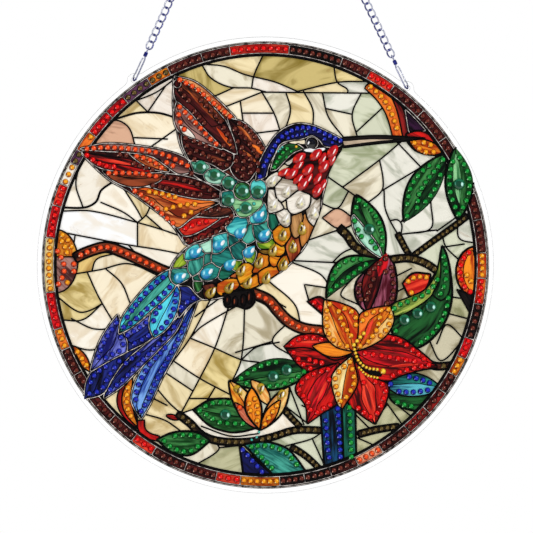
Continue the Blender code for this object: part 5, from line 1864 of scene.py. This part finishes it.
def make_gems(materials):
    gem_back = (PICTURE_FRONT - max(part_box(g["node"])[1].y for g in GEMS)) / MM
    rng = np.random.default_rng(SEED)
    for family, (loop, sides, tiers, slot) in GEM_CUTS.items():
        shape = bmesh.new()
        chosen = [g for g in GEMS if g["family"] == family]
        throat = family == "throat"
        filling = throat_filling() if throat else []
        groups = ((chosen, gem_back, THROAT_FULL if throat else 1.0), (filling, STONE_LIFT, 1.0))
        for gems, back, full in groups:
            for gem in gems:
                matrix = Matrix.Translation((*gem["centre"], back)) @ Matrix.Rotation(gem["turn"], 4, "Z")
                length, width = gem["length"] * full, gem["width"] * full
                cut_stone(shape, loop, length, width, gem["height"], sides, tiers, matrix)
        place_layer = shape.verts.layers.float_vector.new("place")
        every = chosen + filling
        for gem, corners in zip(every, np.array_split(np.array(shape.verts), len(every))):
            radius = sqrt(gem["length"] * gem["width"]) / 2
            for vert in corners:
                off = (vert.co.x - gem["centre"][0], vert.co.y - gem["centre"][1])
                vert[place_layer] = (off[0] / radius, off[1] / radius, 0)
        shape.normal_update()
        # Painted light: each facet's share from shaded to lit colour, set by which way it leans, with a
        # random cast
        lean = Vector(PAINTED_LIGHT_WAY)
        facet = [min(1, max(0, PAINTED_LIGHT_LEVEL + f.normal @ lean + rng.uniform(-0.25,
                                                                           0.25))) for f in shape.faces]
        mesh = mesh_of(f"{family}_gems", shape)
        fill_layer(mesh, "facet", "FLOAT", "FACE", facet)
        piece = add_piece(f"{family}_gems", stand(mesh), materials[f"{family}_gem"])
        set_piece(piece, slot, *[g["node"] for g in chosen])


def build_materials():
    glass, stone, uneven = glass_group(), stone_group(), worn_group()
    oval_group()
    made = {"glass": glass_material(glass)}
    made["lead"] = plain_material(
        uneven, "black_lead", (0.0, 0.0, 0.0), (0.05, 0.045, 0.045), 900.0, 0.6, 0.8, Specular_IOR_Level=0.08
    )
    made["ridge"] = plain_material(
        uneven, "silver_ridge", (0.30, 0.27, 0.26), (1.0, 0.96, 0.93), 420.0, 0.4, 0.6,
        Specular_IOR_Level=0.3
    )
    for kind, (edge, shaded, lit, glint, upper_highlight) in STONES.items():
        # Painted highlights at the lower left and upper right, a painted shaded core, and a painted shadow
        # at the girdle
        painted_ovals = (
            ((-0.38, -0.30), (0.40, 0.28), 62, 0.5, glint), ((0.36, 0.34), (0.36, 0.22), 48, 0.5, upper_highlight),
            ((0.02, 0.02), (0.24, 0.30), 40, 0.7, shaded),
        )
        made[kind] = stone_material(
            stone, f"{kind}_stone", (edge, shaded, lit, lit), 0.32, 0.6, painted_ovals, Specular_IOR_Level=0.2
        )
    made["steel"] = steel_material(uneven)
    made["acrylic"] = acrylic_material(uneven)
    for family, (colours, painted_ovals) in GEM_FINISH.items():
        made[f"{family}_gem"] = stone_material(
            stone, f"{family}_gem", colours, 0.06, 0.45, painted_ovals, Coat_Weight=0.35, Coat_Roughness=0.05
        )
    return made


# ---------------------------------------------------------------- panel, hooks and chain
# Millimetres. A strand's own frame has X up the chain from the ear's hole and Z to the back.

EAR_ANGLE, HANG_TURN = 37.05, 1.65
DISC_RADIUS, PANEL_HALF, PANEL_EDGE = 100, 1.0, 0.3
EAR_REACH, EAR_RADIUS, EAR_FILLET, HOLE_RADIUS = 99.4, 2.9, 3.5, 1.2
HOOK_HALF, HOOK_BEND, HOOK_SPLAY, HOOK_SEAT, HOOK_GAP = 0.36, 1.925, 0.7, 1.69, 0.5
BARREL_START, BARREL_END, BARREL_RADIUS = 11.3, 13.5, 0.85
EYE_RADIUS = 1.2
END_LAP = 0.95  # how far the end links reach into what they hang in
CHAIN_PITCH, LINK_REACH, LINK_WIDTH, LINK_TWIST = 3.25, 1.855, 1.42, 0.42
LINK_HALF = 0.36  # of its wire


def arc(centre, radius, start, end, steps):
    """Points round a centre, by clockwise angles in radians from straight up, both ends included."""
    angles = np.linspace(start, end, steps + 1)
    return np.stack([centre[0] + radius * np.sin(angles), centre[1] + radius * np.cos(angles)], axis=1)


def ear_outline(angle):
    """Clockwise: a hollow fillet, the round tab and the other fillet."""
    tab = np.array((sin(angle), cos(angle))) * EAR_REACH
    far, join = DISC_RADIUS + EAR_FILLET, EAR_RADIUS + EAR_FILLET
    spread = 2 * asin(sqrt((join ** 2 - (far - EAR_REACH) ** 2) / (4 * far * EAR_REACH)))
    fillets = []
    for side in (-1, 1):
        middle = np.array((sin(angle + side * spread), cos(angle + side * spread))) * far
        start = angle + side * spread + pi
        turn = (atan2(*(tab - middle)) - start + pi) % tau - pi
        fillets.append(arc(middle, EAR_FILLET, start, start + turn, 8))
    first, last = (atan2(*(point - tab)) for point in (fillets[0][-1], fillets[1][-1]))
    tip = arc(tab, EAR_RADIUS, first, first + (last - first) % tau, 24)[1:-1]
    return np.vstack([fillets[0], tip, fillets[1][::-1]]), spread


def panel_mesh():
    """The clear disc with its drilled ears, its edges softly broken."""
    ears = [radians(side * EAR_ANGLE + HANG_TURN) for side in (-1, 1)]
    (left, spread), (right, _) = (ear_outline(angle) for angle in ears)
    top = arc((0, 0), DISC_RADIUS, ears[0] + spread, ears[1] - spread, 40)[1:-1]
    rest = arc((0, 0), DISC_RADIUS, ears[1] + spread, ears[0] - spread + tau, 260)[1:-1]
    holes = [arc((EAR_REACH * sin(a), EAR_REACH * cos(a)), HOLE_RADIUS, 0, tau, 32)[:-1] for a in ears]
    curve = bpy.data.curves.new("panel_outline", "CURVE")
    curve.dimensions, curve.fill_mode = "2D", "BOTH"
    curve.extrude, curve.bevel_depth = PANEL_HALF - PANEL_EDGE, PANEL_EDGE
    curve.bevel_resolution, curve.offset = 2, -PANEL_EDGE
    for outline in (np.vstack([left, top, right, rest]), *holes):
        spline = curve.splines.new("POLY")
        spline.points.add(len(outline) - 1)
        spline.points.foreach_set("co", np.hstack([outline, [(0, 1)] * len(outline)]).ravel())
        spline.use_cyclic_u = True
    maker = new_object("panel_outline", curve)
    depsgraph = bpy.context.evaluated_depsgraph_get()
    raw = bpy.data.meshes.new_from_object(maker.evaluated_get(depsgraph))
    bpy.data.objects.remove(maker)
    shape = bmesh.new()
    shape.from_mesh(raw)
    bmesh.ops.remove_doubles(shape, verts=shape.verts, dist=1e-4)
    bmesh.ops.recalc_face_normals(shape, faces=shape.faces)
    mesh = mesh_of("clear_panel", shape)
    fill_layer(mesh, "cut_edge", "FLOAT", "FACE", [abs(face.normal.z) < 0.95 for face in mesh.polygons])
    mesh.transform(Matrix(((MM, 0, 0, 0), (0, 0, -MM, 0), (0, MM, 0, DISC_CENTRE.z), (0, 0, 0, 1))))
    mesh.shade_smooth()
    mesh.set_sharp_from_angle(angle=radians(50))
    return mesh


def strand_matrix(side):
    """Carries a strand's own frame into the row frame, and how long the strand is."""
    angle = radians(side * EAR_ANGLE + HANG_TURN)
    hole = Vector((EAR_REACH * sin(angle) * MM, 0, EAR_REACH * cos(angle) * MM + DISC_CENTRE.z))
    top = Vector((side * LINK_REACH, 0, LINK_HALF)) * MM
    along, back = (top - hole).normalized(), Vector((0, 1, 0))
    turn = Matrix((along, back.cross(along), back)).transposed().to_4x4()
    return Matrix.Translation(hole) @ turn @ Matrix.Scale(MM, 4), (top - hole).length / MM


def wire_lines(name, runs):
    """Wires as a mesh of edges.

    Each run has points, half thicknesses, how much painted dark-blue shade the steel has, and whether it
    closes.
    """
    places, edges, half, blue = [], [], [], []
    for points, thick, dark, closed in runs:
        start, count = len(places), len(points)
        places += [tuple(point) for point in points]
        edges += [(start + i, start + (i + 1) % count) for i in range(count if closed else count - 1)]
        half += list(np.broadcast_to(thick, count))
        blue += list(np.broadcast_to(dark, count))
    mesh = bpy.data.meshes.new(name)
    mesh.from_pydata(places, edges, [])
    fill_layer(mesh, "half", "FLOAT", "POINT", half)
    fill_layer(mesh, "blued", "FLOAT", "POINT", blue)
    return mesh


def hook_lines(inner):
    """A long loop through the ear, its barrel and its eye.

    The loop goes down its inner front leg and up its outer back leg, which stops at a slit.
    """
    top = BARREL_START - HOOK_BEND
    wire = [(BARREL_START + 1, 0, 0)]
    for a in np.linspace(pi / 2, 0, 8):
        wire.append((top + HOOK_BEND * sin(a), inner * HOOK_SPLAY * cos(a), -HOOK_BEND * cos(a)))
    for a in np.linspace(0, pi, 17):
        wire.append((HOOK_SEAT - HOOK_BEND * sin(a), inner * HOOK_SPLAY * cos(a), -HOOK_BEND * cos(a)))
    for a in np.linspace(0, radians(50), 6):
        wire.append((top - HOOK_GAP + HOOK_BEND * sin(a), -inner * HOOK_SPLAY * cos(a), HOOK_BEND * cos(a)))
    # Painted dark-blue shade where the wire passes through the ear's hole, and some on its front leg
    blued = [1.0 if x < 1.0 else 0.45 if z < 0 else 0.0 for x, _, z in wire]
    barrel = [(x, 0, 0) for x in (BARREL_START, BARREL_START + 0.25, BARREL_END - 0.25, BARREL_END)]
    eye_middle = BARREL_END + EYE_RADIUS
    turns = np.linspace(0, tau, 24, endpoint=False)
    eye = [(eye_middle + EYE_RADIUS * cos(a), 0, EYE_RADIUS * sin(a)) for a in turns]
    # The barrel is painted dark-blue shade all over, the eye half so
    return wire_lines("hook", [
        (wire, HOOK_HALF, blued, False),
        (barrel, (BARREL_RADIUS - 0.2, BARREL_RADIUS, BARREL_RADIUS, BARREL_RADIUS - 0.2), 1.0, False),
        (eye, LINK_HALF * 0.9, 0.5, True),
    ])


def link_lines(twist, inner):
    """A long link with its ends turned opposite ways; its ends and its inner side take more painted
    dark-blue shade.
    """
    points, blue = [], []
    for angle in np.linspace(0, tau, 28, endpoint=False):
        x, y = cos(angle), sin(angle)
        points.append((
            LINK_REACH * np.sign(x) * abs(x) ** 0.85, LINK_WIDTH * np.sign(y) * abs(y) ** 0.85,
            inner * twist * sin(2 * angle),
        ))
        # Painted dark-blue shade at the ends, where links meet, and on the inner side
        blue.append(max(abs(x) ** 3, 0.2 + 0.7 * max(y * inner, 0)))
    return wire_lines("link", [(points, LINK_HALF, blue, True)])


def chain_tree():
    """Links along a straight line, each rolled a little by a seed."""
    tree, given, result = new_tree(
        "chain_links", "GeometryNodeTree",
        [("Run", "Geometry", None), ("Link", "Object", None), ("Count", "Int", 20), ("Roll", "Float", 0.1),
         ("Seed", "Int", 1), ("Material", "Material", None)],
        [("Chain", "Geometry")],
    )
    curve = node(tree, "GeometryNodeMeshToCurve", {"Mesh": given["Run"]}).outputs["Curve"]
    spots = node(tree, "GeometryNodeResampleCurve", {"Curve": curve, "Count": given["Count"]}, mode="COUNT")
    most = node(tree, "ShaderNodeCombineXYZ", {"X": given["Roll"]}).outputs["Vector"]
    link = node(tree, "GeometryNodeObjectInfo", {"Object": given["Link"]}).outputs["Geometry"]
    links = node(tree, "GeometryNodeInstanceOnPoints", {
        "Points": spots.outputs["Curve"], "Instance": link, "Rotation": some_vector(tree, most,
                                                                                    given["Seed"]),
    })
    real = node(tree, "GeometryNodeRealizeInstances",
                {"Geometry": links.outputs["Instances"]}).outputs["Geometry"]
    tree.links.new(painted(tree, real, given["Material"]), result["Chain"])
    return tree


def acrylic_material(group):
    """Clear cast acrylic, frosted where its edges are cut."""
    material, tree, shader = new_material("clear_acrylic", IOR=1.49, Transmission_Weight=1.0)
    finish = group_node(tree, group, Low=(0.995, 1.0, 1.0), High=(1, 1, 1), Scale=60.0, Smooth=0.0,
                        Rough=0.004)
    edge = attribute(tree, "cut_edge")
    colour = mixed(tree, edge, finish.outputs["Color"], (*linear((0.58, 0.57, 0.57)), 1))
    rough = maths(tree, "MULTIPLY_ADD", edge, 0.5, finish.outputs["Roughness"])
    tree.links.new(colour, shader.inputs["Base Color"])
    tree.links.new(rough, shader.inputs["Roughness"])
    return material


def steel_material(group):
    """Bright plated steel, with painted dark-blue shade where links and wires bear on each other."""
    material, tree, shader = new_material("plated_steel", Metallic=0.55)
    finish = group_node(
        tree, group, Low=(0.84, 0.86, 0.92), High=(0.98, 0.98, 1.0), Scale=900.0, Smooth=0.16, Rough=0.30
    )
    blued = (*linear((0.13, 0.16, 0.50)), 1)
    coat(tree, shader, mixed(tree, attribute(tree, "blued"), finish.outputs["Color"], blued), finish)
    return material


def make_hanging(materials):
    steel, wires, chains = materials["steel"], bpy.data.node_groups["lead_strips"], chain_tree()
    values = {"Rise": 1.0, "Spacing": 0.3, "Sides": 12, "Material": steel}
    set_piece(add_piece("clear_panel", panel_mesh(), materials["acrylic"]), "clear_acrylic", "panel")
    for side, label in ((-1, "left"), (1, "right")):
        matrix, length = strand_matrix(side)
        hook = grown(f"wire_hook_{label}", hook_lines(-side), wires, values)
        template = new_object("link", grown("link", link_lines(LINK_TWIST, -side), wires, values))
        first = BARREL_END + 2 * EYE_RADIUS - END_LAP + LINK_REACH
        last = length + END_LAP - LINK_REACH
        run = wire_lines("run", [([(first, 0, 0), (last, 0, 0)], 1.0, 0.0, False)])
        count = round((last - first) / CHAIN_PITCH) + 1
        chain = grown(f"curb_chain_{label}", run, chains, {
            "Link": template, "Count": count, "Roll": 0.12, "Seed": side + 2, "Material": steel,
        })
        bpy.data.objects.remove(template)
        for mesh, nodes in ((hook, f"hook_{label}"), (chain, f"chain_{label}")):
            mesh.transform(matrix)
            set_piece(add_piece(mesh.name, mesh), "bright_steel", nodes)
    link = grown("top_link", link_lines(0, 1), wires, values)
    link.transform(Matrix.Translation((0, 0, LINK_HALF * MM)) @ Matrix.Scale(MM, 4))
    set_piece(add_piece("top_link", link), "bright_steel", "chain_top_link")


# ---------------------------------------------------------------- studio


LIGHTS = [  # place, size, power
    ("key", (0.75, -1.1, 0.55), 0.35, 7.5),
    ("fill", (-1.0, -1.2, -0.3), 0.6, 5),
]
FLOOR_RADIUS, FLOOR_HEIGHT, FLOOR_SIDES = 1.2, -0.45, 48
SENSOR, VIEW_WIDTH, VIEW_DISTANCE = 36, 0.2336, 2.4
VIEW_ACROSS, VIEW_UP = 0.0005, -0.00066  # of the camera from the disc's centre


def area_light(name, place, size, power):
    data = bpy.data.lights.new(name, "AREA")
    data.shape, data.size, data.energy = "DISK", size, power
    light = new_object(name, data)
    light.location = place
    light.rotation_mode = "QUATERNION"
    light.rotation_quaternion = (Vector(place) - DISC_CENTRE).to_track_quat("Z", "Y")


def build_room():
    """The room's light: white behind the object and dark behind the camera where it is mirrored.

    It is even where it falls softly, and plain white to the camera.
    """
    world = bpy.data.worlds.new("studio")
    bpy.context.scene.world = world
    world.use_nodes = True
    tree = world.node_tree
    tree.nodes.clear()
    way = node(tree, "ShaderNodeTexCoord").outputs["Generated"]
    parts = node(tree, "ShaderNodeSeparateXYZ", {"Vector": way}).outputs
    ramp = node(tree, "ShaderNodeValToRGB", {"Fac": maths(tree, "MULTIPLY_ADD", parts["Y"], 0.5, 0.5)})
    ramp.color_ramp.interpolation = "EASE"
    for place, colour in ((0.28, (0.04, 0.05, 0.16)), (0.62, (0.10, 0.12, 0.28)), (0.8, (1.0, 1.0, 1.0))):
        ramp.color_ramp.elements.new(place).color = (*colour, 1)
    ramp.color_ramp.elements[0].color = (0.16, 0.16, 0.19, 1)
    ramp.color_ramp.elements[-1].color = (1, 1, 1, 1)
    room = node(tree, "ShaderNodeBackground", {"Color": ramp.outputs["Color"], "Strength": 1.09}).outputs[0]
    even, white = (
        node(tree, "ShaderNodeBackground", {"Color": (1, 1, 1, 1), "Strength": strength}).outputs[0]
        for strength in (0.62, 1.0)
    )
    ray = node(tree, "ShaderNodeLightPath").outputs
    soft = node(tree, "ShaderNodeMixShader", {0: ray["Is Diffuse Ray"], 1: room, 2: even}).outputs[0]
    both = node(tree, "ShaderNodeMixShader", {0: ray["Is Camera Ray"], 1: soft, 2: white}).outputs[0]
    node(tree, "ShaderNodeOutputWorld", {"Surface": both})


def build_studio():
    bpy.context.scene.view_settings.view_transform = "Standard"
    build_room()
    for light in LIGHTS:
        area_light(*light)
    floor = bpy.data.meshes.new("floor")
    turns = [tau * i / FLOOR_SIDES for i in range(FLOOR_SIDES)]
    ring = [(FLOOR_RADIUS * cos(a), FLOOR_RADIUS * sin(a), FLOOR_HEIGHT) for a in turns]
    floor.from_pydata(ring, [], [list(range(FLOOR_SIDES))])
    material, _, shader = new_material("pale_floor", Roughness=0.8)
    shader.inputs["Base Color"].default_value = (0.85, 0.85, 0.84, 1)
    piece = add_piece("floor", floor, material)


def build_camera():
    data = bpy.data.cameras.new("camera")
    data.sensor_width = SENSOR
    data.lens = SENSOR * VIEW_DISTANCE / VIEW_WIDTH
    data.clip_end = 50
    camera = new_object("camera", data)
    camera.location = (VIEW_ACROSS, -VIEW_DISTANCE, DISC_CENTRE.z + VIEW_UP)
    camera.rotation_euler = (pi / 2, 0, 0)
    bpy.context.scene.camera = camera


build_camera()
build_studio()
materials = build_materials()
make_picture(materials)
make_gems(materials)
make_hanging(materials)
